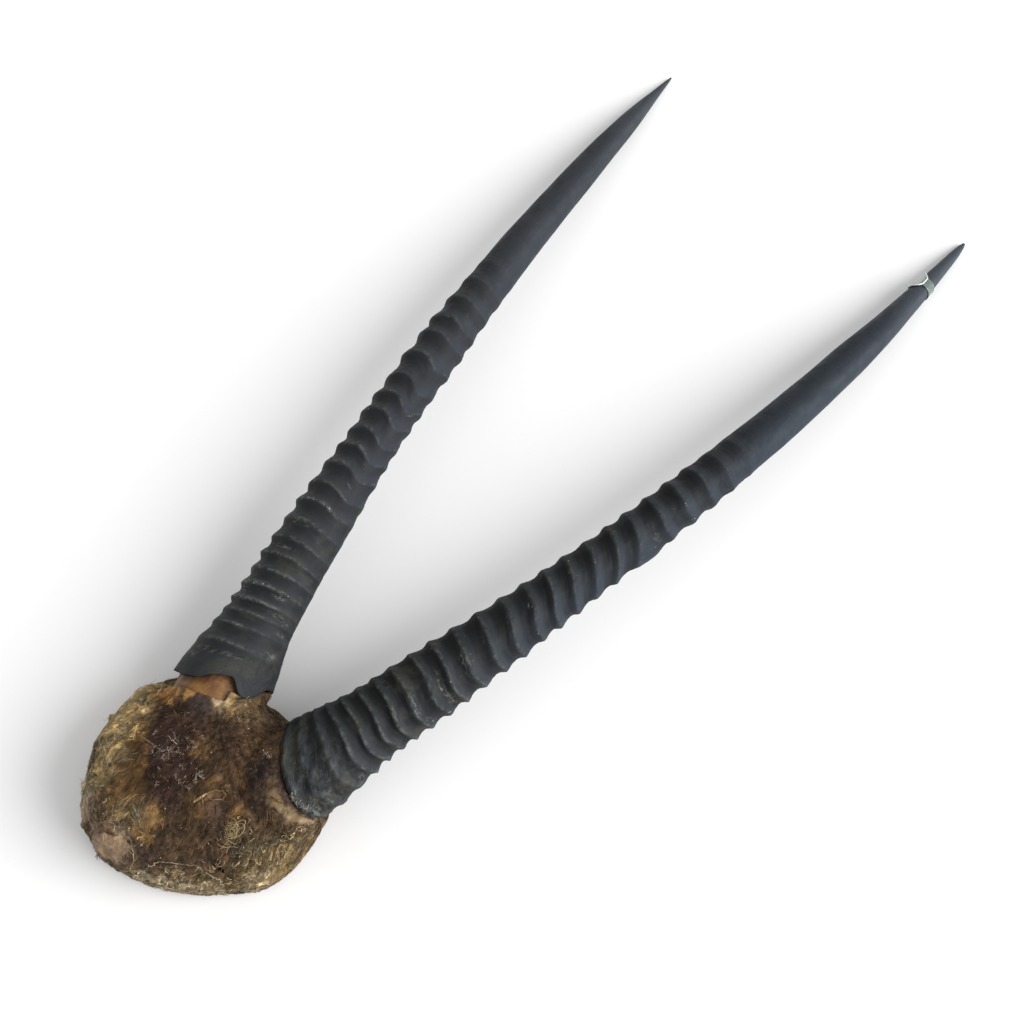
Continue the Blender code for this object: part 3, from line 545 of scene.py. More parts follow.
def build_horn(name, horn, material):
    """Sheath with rings, growth lines, worn crests, cracked base and its open socket."""
    place = horn.places()
    turn = -horn.outer_side
    angle = turn * (math.tau * np.arange(HORN_SIDES) / HORN_SIDES) - math.pi * turn
    wrapped = (angle + math.pi) % math.tau - math.pi
    degrees = np.degrees(wrapped)
    notch = np.interp(degrees, *np.array(horn.notch, float).T)
    distance = place[:, None] + 0.001 * along_rows(horn.sweep, place, wrapped)
    distance = distance + 0.001 * notch[None, :] * (1 - smoothstep(0.0, 0.022, place))[:, None]
    grid = np.broadcast_to(angle, distance.shape)
    upright = np.broadcast_to(place[:, None], grid.shape)
    grown = np.stack([GRAIN_RADIUS * np.cos(grid), GRAIN_RADIUS * np.sin(grid), upright], axis=-1)

    def rough(stretch, size, k):
        return noise(grown * stretch, size, horn.seed + k)

    def pleated(share, size, k):
        folded = np.concatenate([grown[..., :2] * share, slant], axis=-1)
        return 1 - 2 * np.abs(noise(folded, size, horn.seed + k))

    rings = np.array([horn.ring(p) for p in place])[:, None] * along_rows(horn.relief, place, wrapped)
    rings = rings * (1 + 0.30 * rough((1, 1, 0.35), 0.011, 0))
    off = away(degrees, horn.lit_angle)
    rings = rings * (1 - horn.worn * bell(off - 14, 24))[None, :] + horn.half_ring(place, degrees)
    ringed_zone = 1 - smoothstep(*RINGS_FADE, place)[:, None]
    worst = 0.25 + 0.75 * bell(away(degrees, horn.rough_angle), horn.rough_reach)
    foot = (1 - smoothstep(*FOOT_FADE, place))[:, None] * worst[None, :] * horn.roughness
    lumps = rough(1, 0.0085, 5) + 0.6 * rough(1, 0.004, 6)
    cracks = 1 - np.clip(np.abs(rough((0.7, 0.7, 0.9), 0.0065, 8)) * 8, 0, 1)
    slant = grown[..., 2:] + 0.013 * np.sin(grid[..., None] - 0.4)
    relief = (
        RING_HEIGHT * rings
        + 0.00022 * rough((0.16, 0.16, 1), 0.0024, 3) * (0.25 + 0.75 * ringed_zone)
        + 0.00010 * rough((0.22, 0.22, 1), 0.0011, 4) * (0.2 + 0.8 * ringed_zone)
        + 0.00020 * lumps * (0.35 + 0.65 * ringed_zone)
        + 0.00045 * rough((1, 1, 0.6), 0.026, 7)
        + 0.00007 * rough((1, 1, 0.05), 0.0016, 10)
        + foot * (
            0.0005 * rough((1, 1, 0.8), 0.0042, 9) + 0.0004 * lumps - 0.0007 * cracks
            + 0.0011 * pleated(0.42, 0.0062, 11) + 0.0005 * pleated(0.45, 0.0034, 12)
        )
    )
    relief = relief + 0.0006 * bell(away(degrees, horn.ridge), 24)[None, :] * (1 - ringed_zone)
    base = through(horn.radius, distance)
    radius = base + relief * np.clip(base / FULL_RELIEF_FROM, 0, 1)
    outer = horn.spot(distance, grid, np.maximum(radius, LEAST_RADIUS))

    mouth, floor = (
        horn.spot(at, angle, through(horn.radius, at) - SOCKET_WALL)
        for at in (distance[0] + 0.0002, np.full(HORN_SIDES, SOCKET_FLOOR))
    )
    wall = np.stack([floor, mouth * 0.55 + floor * 0.45, mouth])
    loops = np.concatenate([wall, outer])
    loops = np.clip(loops, np.array(CAD_BOX[0]) + BOX_ROOM, np.array(CAD_BOX[1]) - BOX_ROOM)
    tip = horn.spot(np.array([horn.length]), np.zeros(1), np.zeros(1))
    verts = np.concatenate([loops.reshape(-1, 3), floor.mean(axis=0)[None], tip])
    faces = (shape(len(loops), HORN_SIDES) for shape in (ring_faces, end_faces))
    thing = mesh_object(name, verts, *faces, material)

    t, pitch = horn.phase(place)
    # painted shade: the tone is dark in the hollows between the rings and light on their crests
    crest_lightness = (1 - smoothstep(0.10, 0.62, t)) + smoothstep(0.93, 1.0, t)
    crest_lightness = np.where(place > horn.rings[-1], crest_lightness * (1 - t), crest_lightness)
    # painted highlight: a narrow band along each ring crest
    crest_highlight_band = bell(np.minimum(t, 1 - t) * pitch, 0.0013)
    layers = (
        ("crest", rings, -0.6),
        ("fleck_and_crest_highlight", horn_marks(horn, place, degrees, distance), 0.0),
        ("tone", 0.55 * crest_lightness[:, None] + 0.45 * np.clip(0.5 + 0.5 * rings, 0, 1.2), 0.3),
        ("ridge", crest_highlight_band[:, None] * np.clip(rings, 0, 1), 0.0),
        ("lit", bell(off, 52), 0.0),
        ("place", upright, 0.0),
        ("foot", foot, 1.0),
        ("crack", cracks * foot, 0.0),
    )
    for key, values, inside in layers:
        values = np.broadcast_to(values, grid.shape)
        body = np.concatenate([np.full(wall.shape[:2], inside), values]).ravel()
        set_layer(thing, key, np.concatenate([body, [inside, values[-1, 0]]]))
    lean = 0.008 * np.sin(grid - 0.4) * (1 - smoothstep(0.008, 0.060, place))[:, None]
    flow = grown + lean[..., None] * (0, 0, 1)
    inner = np.broadcast_to(flow[0], wall.shape)
    flow = np.concatenate([np.concatenate([inner, flow]).reshape(-1, 3), flow[0, :1], flow[-1, :1]])
    set_layer(thing, "grown", flow, "FLOAT_VECTOR")
    return thing


def horn_material(name, dust_amount, shades, strip_share, crest_highlight_share, tip_share, tip_pale):
    """Dark keratin; shades are the colours of the ring hollows (painted shade), rings, smooth part, lit strip
    (painted light on the side turned to the lamp) and pale wear, which also paints highlights on the crests.
    """
    g = Graph(name)
    hollow_shade, body, smooth, strip, pale = (linear(shade) for shade in shades)
    grown = g.attribute("grown", "Vector")
    crest, tone, place, foot, lit = (g.attribute(key) for key in ("crest", "tone", "place", "foot", "lit"))
    across = g.noise(grown, (60, 60, 420), 5.0, 0.62)
    lengthwise = g.noise(grown, (420, 420, 16), 4.0, 0.6)
    blotch = g.noise(grown, 70.0, 4.0, 0.6)
    smudge = g.noise(grown, (60, 60, 30))
    # painted shade: the tone darkens the ring hollows towards the hollow colour
    height = tone
    for cloud, share in ((across, 0.45), (smudge, 0.5)):
        height = g.math("ADD", height, g.times(g.math("SUBTRACT", cloud, 0.5), share))
    colour = g.mix(g.span(height, 0.10, 0.90), hollow_shade, body)
    past = g.span(place, *RINGS_FADE)
    far = g.mix(g.span(blotch, 0.38, 0.68), smooth, 0.8 * smooth)
    far = g.mix(g.span(lengthwise, 0.52, 0.78, 0.0, 0.3), far, strip)
    colour = g.mix(past, colour, far)
    # painted light: the side of the horn turned to the lamp is coloured lighter and bluer
    painted_lit_side = g.times(
        lit,
        g.span(place, 0.10, 0.25, 0.25, 1.0),
        g.span(g.math("ADD", tone, past), 0.1, 0.7, strip_share, 0.85),
        g.span(place, 0.60, 0.80, 1.0, tip_share),
    )
    colour = g.mix(painted_lit_side, colour, strip)
    colour = g.mix(g.span(place, 0.62, 0.76, 0.0, tip_pale), colour, (72, 78, 86))
    fade = g.span(place, 0.03, 0.36, 1.0, 0.25)
    ringed = g.math("SUBTRACT", 1.0, past)
    worn = g.times(g.span(crest, 0.2, 1.0), g.span(g.noise(grown, 150.0, 5.0, 0.68), 0.44, 0.68), ringed)
    colour = g.mix(g.times(worn, g.times(fade, dust_amount)), colour, (94, 93, 82))
    dusty = g.times(g.span(g.noise(grown, 60.0), 0.50, 0.66), g.span(place, 0.08, 0.20, 0.35, 0.0))
    colour = g.mix(dusty, colour, (66, 66, 56))
    # painted highlight: a pale broken line along the ring crests
    line = g.times(g.attribute("ridge"), g.span(g.noise(grown, 210.0, 4.0, 0.65), 0.42, 0.62), ringed)
    line = g.times(line, g.span(place, 0.0, 0.34, crest_highlight_share, 0.4 * crest_highlight_share))
    colour = g.mix(line, colour, pale)
    speckle = g.noise(grown, (240, 240, 460), 5.0, 0.72)
    # partly real flecks and scratches, partly painted highlights on ring crests
    fleck_and_crest_highlight = g.times(g.attribute("fleck_and_crest_highlight"), g.span(speckle, 0.46, 0.64, 0.0, 0.75))
    colour = g.mix(fleck_and_crest_highlight, colour, (132, 134, 126))
    scuff = g.times(g.span(across, 0.60, 0.72), g.span(crest, -0.2, 0.8, 0.0, 0.45), g.times(fade, ringed))
    colour = g.mix(scuff, colour, pale)
    spots = g.times(g.span(g.cells(grown, 330.0), 0.17, 0.09), g.span(g.noise(grown, 120.0, 2.0), 0.60, 0.68))
    colour = g.mix(g.times(spots, g.span(crest, 0.1, 0.8, 0.12, 1.0)), colour, (190, 190, 182))
    flaky = g.times(foot, g.span(g.noise(grown, 260.0, 4.0, 0.7), 0.54, 0.66), 0.15)
    colour = g.mix(flaky, colour, pale)
    crinkle = g.noise(grown, (125, 125, 300), 4.0, 0.55, 0.8)
    groove = g.span(g.math("ABSOLUTE", g.math("SUBTRACT", crinkle, 0.49)), 0.022, 0.0)
    lip = g.times(g.span(crinkle, 0.53, 0.57), g.span(crinkle, 0.64, 0.59))
    colour = g.mix(g.times(lip, foot, 0.12), colour, pale)
    colour = g.mix(g.times(groove, foot, 0.36), colour, (16, 16, 18))
    colour = g.mix(g.attribute("crack"), colour, (10, 10, 11))
    rough = g.math("ADD", g.span(blotch, 0.3, 0.7, 0.50, 0.66), g.times(ringed, 0.08))
    normal = g.bump(across, 0.55, 0.0007)
    normal = g.bump(lengthwise, 0.25, 0.0004, normal)
    normal = g.bump(g.noise(grown, 900.0, 3.0, 0.6), 0.30, 0.00025, normal)
    normal = g.bump(g.times(crinkle, foot), 0.6, 0.0016, normal)
    return g.finish(colour, rough, 0.18, normal)


# ---------------------------------------------------------------- hide: colours by place
# each kind of hide or hair: its colour, then where it lies in millimetres in the row frame, with its reach
HIDE_KINDS = {
    "straw": ((220, 197, 144), (
        (-72, -394, 69, 12), (-90, -375, 50, 13), (-67, -413, 71, 11), (-80, -404, 56, 10),
        (-96, -392, 34, 12), (-61, -432, 66, 9), (-72, -387, 68, 9), (-84, -362, 54, 7), (-94, -352, 34, 10),
        (-64, -424, 66, 6),
    )),
    "khaki": ((176, 154, 107), (
        (-56, -431, 71, 10), (-20, -440, 79, 6), (-95, -412, 26, 14), (-57, -388, 76, 6), (-20, -332, 75, 6),
    )),
    "hay": ((150, 132, 93), (
        (82, -378, 40, 11), (84, -396, 22, 10), (72, -398, 50, 7),
    )),
    "moss": ((105, 89, 60), (
        (72, -392, 57, 12), (66, -410, 48, 8), (58, -434, 32, 6), (45, -438, 46, 8), (66, -424, 30, 8),
    )),
    "maroon": ((58, 39, 33), (
        (-55, -373, 77, 9), (-36, -384, 84, 13), (-43, -366, 81, 10), (-16, -390, 85, 12), (-7, -403, 85, 12),
        (-24, -404, 84, 9), (-25, -368, 83, 10), (-6, -410, 85, 9), (-19, -402, 86, 9),
    )),
    "plum": ((44, 33, 33), (
        (-36, -349, 83, 8), (-31, -343, 82, 6), (37, -355, 84, 8), (40, -368, 86, 6), (-30, -392, 85, 6),
        (54, -372, 82, 5),
    )),
    "umber": ((64, 47, 33), (
        (-6, -353, 80, 12), (4, -362, 83, 8), (9, -410, 84, 8), (20, -424, 79, 8), (42, -407, 78, 9),
        (47, -420, 69, 9), (59, -375, 78, 5), (60, -407, 65, 7), (11, -356, 82, 5), (78, -373, 60, 6),
    )),
    "brown": ((87, 67, 47), (
        (6, -373, 84, 9), (22, -373, 84, 9), (16, -344, 77, 11), (36, -380, 83, 8), (20, -338, 66, 9),
        (66, -380, 68, 7), (31, -424, 74, 9),
    )),
    "ochre": ((116, 90, 54), (
        (-46, -415, 79, 8), (-29, -424, 82, 10), (-40, -430, 78, 8), (-38, -408, 82, 7), (19, -407, 83, 6),
        (47, -388, 78, 6), (28, -366, 83, 5), (-10, -372, 84, 6),
    )),
    "brass": ((115, 90, 52), (
        (17, -381, 84, 4), (22, -404, 83, 4), (-15, -424, 84, 5), (46, -394, 77, 4),
    )),
    "gold": ((132, 106, 66), (
        (0, -432, 81, 8), (2, -441, 77, 7), (-13, -430, 83, 7), (-30, -441, 79, 8), (-52, -398, 78, 9),
        (-60, -384, 75, 7), (-60, -374, 75, 6),
    )),
    "olive": ((69, 54, 38), (
        (9, -321, 46, 13), (24, -327, 52, 9), (-70, -440, 22, 13),
    )),
    "cream": ((170, 158, 130), (
        (-27, -335, 77, 6), (50, -446, 22, 14), (33, -456, 30, 13), (6, -470, 18, 14), (77, -412, 26, 12),
        (74, -420, 21, 10),
    )),
    "pale": ((216, 206, 184), (
        (24, -462, 18, 9), (29, -459, 27, 9), (-69, -448, 48, 7), (-53, -452, 60, 5), (-58, -468, 28, 9),
        (12, -468, 30, 8), (-100, -380, 20, 9),
    )),
    "tan": ((108, 92, 67), (
        (-8, -327, 60, 9), (-13, -328, 69, 6), (30, -448, 48, 6), (85, -352, 40, 8), (84, -366, 20, 9),
        (86, -380, 14, 9),
    )),
    "ridge": ((92, 76, 56), (
        (48, -356, 85, 4), (53, -361, 84, 4), (61, -364, 82, 4), (67, -366, 77, 5), (73, -365, 72, 5),
        (79, -362, 63, 5), (84, -356, 49, 5), (86, -351, 38, 6),
    )),
    "rawhide": ((140, 122, 101), (
        (-16, -462, 62, 14), (-32, -464, 52, 9), (-52, -459, 54, 10), (-64, -453, 47, 8), (-66, -462, 30, 10),
    )),
    # the hide's bone-coloured edge at the left horn's foot, also painted lighter to lift the shade in the gap
    # there (painted light)
    "bone": ((170, 132, 78), (
        (-66, -358, 70, 8), (-55, -357, 77, 5), (-72, -354, 58, 8), (-44, -350, 82, 4), (-78, -350, 50, 6),
    )),
    # partly dark hide, partly painted shade in the crease under the right horn's lower rim
    "dark_hide_and_crease_shade": ((63, 47, 39), (
        (14, -446, 66, 9), (8, -452, 62, 7), (36, -394, 81, 6), (56, -353, 83, 4), (65, -356, 80, 4),
        (73, -356, 73, 4), (80, -352, 62, 4),
    )),
}
BASE_TINT = (86, 68, 48)
WARMTH = (0.99, 0.895, 0.79)
# size of the even mesh and rounds of smoothing
SKIN_MESH = (0.00135, 3)
BONE_MESH = (0.0016, 8)
# bald places of the hide in millimetres: centre and reach
BALD = (
    (-18, -463, 62, 17), (-34, -466, 50, 11), (-55, -459, 50, 12), (-66, -455, 44, 11), (-68, -462, 28, 10),
    (-64, -352, 71, 7), (-73, -350, 58, 8), (-52, -351, 79, 7), (-42, -347, 83, 7), (-31, -342, 82, 7),
    (-24, -335, 77, 7), (-1, -434, 80, 5),
)
# corner of the hide beside the left horn, pressed down: place and reach, and shift in millimetres
CORNER = (((-80, -347, 52, 11), (4.0, -4.8, -2.9)), ((-94, -350, 32, 13), (6.0, -7.6, -2.5)))
# middle of the skin fold beside the right horn
FOLD = (
    (42, -345, 86), (45, -352, 86), (52, -358, 85), (61, -363, 82), (70, -364, 76), (78, -361, 65),
    (84, -355, 48),
)
HAIR_BOX = np.array(CAD_BOX) + ((0.0004,), (-0.0002,))


def near(points, spot, spread=1.0):
    """1 at a spot and less with distance; a spot is a place and a reach in millimetres."""
    return bell(np.linalg.norm(points - np.array(spot[:3]) / 1000, axis=1), spread * spot[3] / 1000)


def hide_colour(points):
    """Linear colour of the hide and hair at points in the row frame."""
    warped = points + 0.0060 * noise3(points, 0.010, 40) + 0.0030 * noise3(points, 0.0038, 44)
    total = np.full(len(points), 0.03)
    colour = np.outer(total, linear(BASE_TINT))
    for tint, spots in HIDE_KINDS.values():
        for spot in spots:
            weight = near(warped, spot, 0.72)
            total += weight
            colour += weight[:, None] * linear(tint)
    colour /= total[:, None]
    stain = noise(points, 0.0075, 50) + 0.8 * noise(points, 0.0030, 51)
    hue = noise3(points, 0.0060, 53) * (0.05, 0.01, -0.06)
    return colour * np.exp(0.36 * stain[:, None] + hue) * WARMTH


def remeshed(name, node, voxel, rounds):
    """Fine, even mesh of a CAD node's shape, with its vertices and normals."""
    thing = add_object(name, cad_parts[node].data.copy())
    modifier = thing.modifiers.new("even", "REMESH")
    modifier.mode = "VOXEL"
    modifier.voxel_size = voxel
    modifier.adaptivity = 0.0
    soft = thing.modifiers.new("soft", "SMOOTH")
    soft.factor = 0.5
    soft.iterations = rounds
    bpy.context.view_layer.update()
    graph = bpy.context.evaluated_depsgraph_get()
    mesh = bpy.data.meshes.new_from_object(thing.evaluated_get(graph), depsgraph=graph)
    thing.modifiers.clear()
    thing.data = mesh
    mesh.name = name
    mesh.materials.clear()
    mesh.shade_smooth()
    return thing, read_rows(mesh.vertices, "co"), read_rows(mesh.vertex_normals, "vector")


def reshape(thing, places, material):
    thing.data.vertices.foreach_set("co", places.astype(np.float32).ravel())
    thing.data.update()
    thing.data.materials.append(material)


def tree_of(thing):
    """Search tree of an object's faces, with its corners and triangles."""
    thing.data.calc_loop_triangles()
    co = read_rows(thing.data.vertices, "co")
    tris = read_rows(thing.data.loop_triangles, "vertices", whole=True)
    return BVHTree.FromPolygons(co.tolist(), tris.tolist()), co, tris


def gaps(tree, points):
    return np.array([tree.find_nearest(p)[3] for p in points])


def nearest(tree, points):
    hits = [tree.find_nearest(p) for p in points]
    return np.array([hit[0] for hit in hits]), np.array([hit[1] for hit in hits])


def fold_distance(points):
    """Metres to the middle of the skin fold beside the right horn."""
    return np.min([np.linalg.norm(points - spot, axis=1) for spot in spline(FOLD, 60) / 1000], axis=0)


def clothed(points):
    """1 where hair grows, 0 on bald skin."""
    bald = np.max([near(points, spot) for spot in BALD], axis=0)
    folded = smoothstep(0.046, 0.060, points[:, 0]) * bell(fold_distance(points), 0.0040)
    return 1 - smoothstep(0.30, 0.60, np.maximum(bald, 0.8 * folded))


def build_skin(material):
    """Dried hide: the CAD hide's form with folds, tufts and a cracked grain."""
    skin, co, normal = remeshed("scalp_hide", "scalp", *SKIN_MESH)
    outside = smoothstep(0.0022, 0.0046, gaps(tree_of(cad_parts["skull_cap"])[0], co))
    lumps = noise(co, 0.016, 60) + 0.6 * noise(co, 0.008, 61)
    folds = 1 - 2 * np.abs(noise(co * (1, 1, 0.6), 0.0075, 62))
    tufts = 1 - 2 * np.abs(noise(co * (1.3, 0.6, 0.9), 0.0042, 64))
    grain = noise(co, 0.0022, 63)
    foot = smoothstep(0.004, 0.012, co[:, 2])
    covered = clothed(co)
    off = fold_distance(co)
    fading = smoothstep(0.044, 0.058, co[:, 0])
    wrinkled = 1 + 0.5 * noise(co, 0.0110, 66) + 0.3 * noise(co, 0.0040, 69)
    ridge = fading * bell(off, 0.0040) * wrinkled - 0.7 * bell(off - 0.0080, 0.0028)
    relief = 0.0013 * ridge + 0.0011 * lumps + 0.0006 * folds
    relief = relief + (0.0002 + 0.0006 * covered) * tufts + 0.0003 * grain
    inset = (0.0003 + 0.0006 * covered) * smoothstep(0.025, 0.060, co[:, 2])
    moved = co + normal * (outside * (relief - inset) * (0.3 + 0.7 * foot))[:, None]
    for spot, shift in CORNER:
        moved = moved + near(moved, spot)[:, None] * np.array(shift) / 1000
    moved[:, 2] = np.maximum(moved[:, 2], 0.0020)
    moved = np.clip(moved, *HAIR_BOX)
    reshape(skin, moved, material)

    tint = hide_colour(moved) * np.exp(0.16 * lumps + 0.20 * (tufts - 0.3) * covered)[:, None]
    crest = np.clip(fading * bell(off, 0.0046) * (0.8 + 0.5 * noise(co, 0.0060, 67)), 0, 1)
    # painted highlight on the skin fold beside the right horn, and painted shade in the trough between the
    # fold and the horn
    skin_fold_highlight = np.clip(bell(off, 0.0034) * (0.25 + 1.3 * noise(co, 0.0050, 74)), 0, 0.8)
    inner = smoothstep(-0.366, -0.357, co[:, 1]) * smoothstep(0.040, 0.056, co[:, 0])
    fold_trough_shade = np.clip(bell(off - 0.0072, 0.0028) * (0.8 + 0.6 * noise(co, 0.0060, 68)) * inner, 0, 0.9)
    shares = (crest, skin_fold_highlight * smoothstep(0.056, 0.072, co[:, 0]), fold_trough_shade)
    for share, colour in zip(shares, ((114, 94, 62), (158, 134, 112), (56, 40, 36))):
        tint = blend(tint, linear(colour), share[:, None])
    set_layer(skin, "tint", tint, "FLOAT_COLOR")
    set_layer(skin, "outside", outside)
    set_layer(skin, "bald", 1 - covered)
    return skin


def hide_material(name):
    g = Graph(name)
    place = g.position()
    tint, bald = g.attribute("tint", "Color"), g.attribute("bald")
    strands = g.noise(place, (300, 110, 190), 6.0, 0.70, 0.8)
    small = g.noise(place, 520.0, 4.0, 0.65)
    patch = g.noise(place, 95.0, 5.0, 0.62)
    deep = g.math("SUBTRACT", 1.0, g.times(bald, 0.6))
    shade = g.times(g.span(strands, 0.30, 0.70, 0.45, 1.40), deep)
    colour = g.shaded(tint, g.math("ADD", shade, g.math("SUBTRACT", 1.0, deep)))
    colour = g.mix(g.times(g.span(patch, 0.54, 0.70, 0.0, 0.6), deep), colour, (46, 34, 28))
    colour = g.mix(g.span(small, 0.66, 0.80, 0.0, 0.35), colour, (176, 156, 120))
    colour = g.mix(g.attribute("outside"), (100, 74, 46), colour)
    normal = g.bump(small, 0.5, 0.0005, g.bump(strands, 0.8, 0.0012))
    return g.finish(colour, g.span(patch, 0.3, 0.7, 0.55, 0.85), 0.32, normal)


# ---------------------------------------------------------------- hair
# where straw-coloured and dark hair grow: millimetres in the row frame, then reach
STRAW_SPOTS = (
    (-78, -392, 62, 20), (-88, -372, 48, 15), (-66, -415, 66, 18), (-56, -436, 62, 16), (-95, -400, 35, 22),
    (-76, -354, 58, 9), (-82, -360, 52, 9), (72, -388, 56, 17), (82, -376, 38, 16), (66, -398, 60, 12),
    (-14, -432, 81, 10), (52, -398, 75, 8),
)
DARK_SPOTS = (
    (-35, -380, 84, 26), (-8, -398, 85, 22), (-2, -360, 80, 22), (22, -365, 84, 22), (35, -355, 84, 12),
)
COAT_STEPS = 5
ROOT_DEPTH = 0.0004
PLUME_STEPS, PLUME_BARBS = 6, 7
PLUME_WIDTH, BARB_WIDTH = 0.00044, 0.00026
PLUME_TINT = (150, 138, 126)


def outer_side(points, normals):
    """Leaves out the lower edge and the inner face."""
    facing = np.sum(unit(points - np.array([-0.003, -0.394, 0.010])) * normals, axis=1)
    return (facing > 0.05) * smoothstep(0.004, 0.010, points[:, 2]) * clothed(points)


def spotted(points, normals, spots):
    return outer_side(points, normals) * np.clip(sum(near(points, spot) for spot in spots), 0, 1)


def straw_weight(points, normals):
    return spotted(points, normals, STRAW_SPOTS)


def dark_weight(points, normals):
    return spotted(points, normals, DARK_SPOTS)


def rest_weight(points, normals):
    left_over = 1.05 - straw_weight(points, normals) - dark_weight(points, normals)
    return outer_side(points, normals) * np.clip(left_over, 0.12, 1)


def fringe_weight(points, normals):
    low = 1 - smoothstep(0.030, 0.055, points[:, 2])
    return outer_side(points, normals) * low * smoothstep(-0.340, -0.375, points[:, 1])


def strand_mesh(name, paths, widths, colours, material):
    """Closed thin pointed tubes of three sides along paths of shape (strands, points, 3)."""
    count, steps = paths.shape[:2]
    heading = unit(np.gradient(paths, axis=1))
    reference = np.where(np.abs(heading[..., 2:3]) < 0.9, np.array([0, 0, 1.0]), np.array([1.0, 0, 0]))
    side = unit(np.cross(heading, reference))
    up = np.cross(side, heading)
    angles = [math.tau * k / 3 for k in range(3)]
    rings = [paths + (side * math.cos(a) + up * math.sin(a)) * widths[..., None] / 2 for a in angles]
    body = np.stack(rings, axis=2)[:, :-1]
    verts = np.clip(np.concatenate([body.reshape(count, -1, 3), paths[:, -1:]], axis=1), *CAD_BOX)
    per = verts.shape[1]
    tris = [(2, 1, 0)] + [(per - 4 + i, per - 4 + (i + 1) % 3, per - 1) for i in range(3)]
    base = (np.arange(count) * per)[:, None, None]
    faces = (base + ring_faces(steps - 1, 3), base + np.array(tris))
    thing = mesh_object(name, verts.reshape(-1, 3), *faces, material)
    shade = np.concatenate([np.repeat(colours[:, :-1], 3, axis=1), colours[:, -1:]], axis=1)
    set_layer(thing, "tint", shade.reshape(-1, 3), "FLOAT_COLOR")
    return thing


def hair_flow(points, seed):
    """Direction the coat lies in: mostly to the back of the head, with whorls."""
    out = points - np.array([-0.003, -0.372, 0.0])
    out[:, 2] = 0
    flow = unit(out) * 0.45 + np.array([0.22, -0.70, 0.0])
    return unit(flow + 1.05 * noise3(points, 0.017, seed) + np.array([0, 0, -0.30]))


def scatter(rng, co, tris, weight, count):
    """Random places on triangles, thicker where the weight is high."""
    a, b, c = (co[tris[:, k]] for k in range(3))
    cross = np.cross(b - a, c - a)
    share = np.linalg.norm(cross, axis=1) * weight((a + b + c) / 3, unit(cross))
    chosen = rng.choice(len(tris), size=count, p=share / share.sum())
    u, v = rng.random(count), rng.random(count)
    flip = u + v > 1
    u[flip], v[flip] = 1 - u[flip], 1 - v[flip]
    points = a[chosen] + (b - a)[chosen] * u[:, None] + (c - a)[chosen] * v[:, None]
    return points, unit(cross)[chosen]


def grow(tree, roots, lengths, flow_seed, heights):
    """Guide paths that leave the skin, lie along it and end near it."""
    paths = [roots]
    for k in range(1, COAT_STEPS):
        t = k / (COAT_STEPS - 1)
        q, n = nearest(tree, paths[-1])
        flow = hair_flow(q, flow_seed)
        flow = unit(flow - n * np.sum(flow * n, axis=1, keepdims=True))
        q, n = nearest(tree, q + flow * (lengths / (COAT_STEPS - 1))[:, None])
        paths.append(q + n * (heights * math.sin(math.pi * (0.15 + 0.75 * t)))[:, None])
    return np.stack(paths, axis=1)


def coat(rng, skin, name, weight, guides, strands, length, height, width, clump, frizz, look, material):
    """A region of matted hair: guides make the locks, strands follow the nearest guide."""
    tree, co, tris = skin
    roots, _ = scatter(rng, co, tris, weight, guides)
    lengths = length * rng.uniform(0.65, 1.3, guides)
    paths = grow(tree, roots, lengths, look["seed"], height * rng.uniform(0.3, 1.3, guides))
    strand_roots, normals = scatter(rng, co, tris, weight, strands)
    owner = np.array([((root - roots) ** 2).sum(axis=1).argmin() for root in strand_roots])
    t = np.linspace(0, 1, COAT_STEPS)
    together = 1 - clump * t**0.8
    lines = paths[owner] + (strand_roots - roots[owner])[:, None] * together[None, :, None]
    scale = rng.uniform(0.6, 1.15, strands)[:, None, None]
    lines = strand_roots[:, None] + (lines - lines[:, :1]) * scale
    wobble = rng.normal(size=(strands, 1, 3)) * 0.35
    wobble = wobble + noise3(lines + rng.uniform(0, 1, (strands, 1, 3)), 0.006, 70)
    lines = lines + frizz * wobble * (t**0.9)[None, :, None]
    q, n = nearest(tree, lines.reshape(-1, 3))
    up = np.sum((lines.reshape(-1, 3) - q) * n, axis=1).reshape(lines.shape[:2])
    most = (height * rng.uniform(0.25, 1.1, strands))[:, None] * np.sin(math.pi * (0.12 + 0.7 * t))[None]
    most = most * (0.4 + 0.6 * smoothstep(0.030, 0.062, q[:, 2].reshape(lines.shape[:2])))
    up = np.clip(up, 0.25 * most, most)
    lines = (q + n * up.reshape(-1, 1)).reshape(lines.shape)
    lines[:, 0] = strand_roots - normals * ROOT_DEPTH
    lines = np.clip(lines, *HAIR_BOX)
    widths = width * rng.uniform(0.6, 1.4, strands)[:, None] * (1 - 0.7 * t)[None]
    tone = rng.normal(0, look["spread"], guides)[owner] + rng.normal(0, 0.2, strands)
    hue = rng.normal(0, 1.0, guides)[owner][:, None] * (0.03, 0.0, -0.04)
    tint = hide_colour(lines[:, 1]) * np.exp(tone[:, None] + hue)
    # painted shade: each strand is darkened towards its root by deep; its tip fades to a paler colour, partly
    # its own and partly painted highlight
    lean = look["pale"] * rng.uniform(0.2, 1.6, strands)
    lean = lean * (1 - 0.55 * smoothstep(0.01, 0.06, strand_roots[:, 0]))
    tips = blend(tint, linear(look["tip"]), np.clip(lean, 0, 1)[:, None])
    colours = blend((tint * look["deep"])[:, None], tips[:, None], t[None, :, None])
    place_piece(strand_mesh(name, lines, widths, colours, material), "scalp", "scalp")


def hair_material(name):
    g = Graph(name)
    streak = g.noise(g.position(), 400.0, 3.0, 0.6)
    colour = g.shaded(g.attribute("tint", "Color"), g.span(streak, 0.3, 0.7, 0.75, 1.25))
    return g.finish(colour, g.span(streak, 0.3, 0.7, 0.6, 0.85), 0.20)


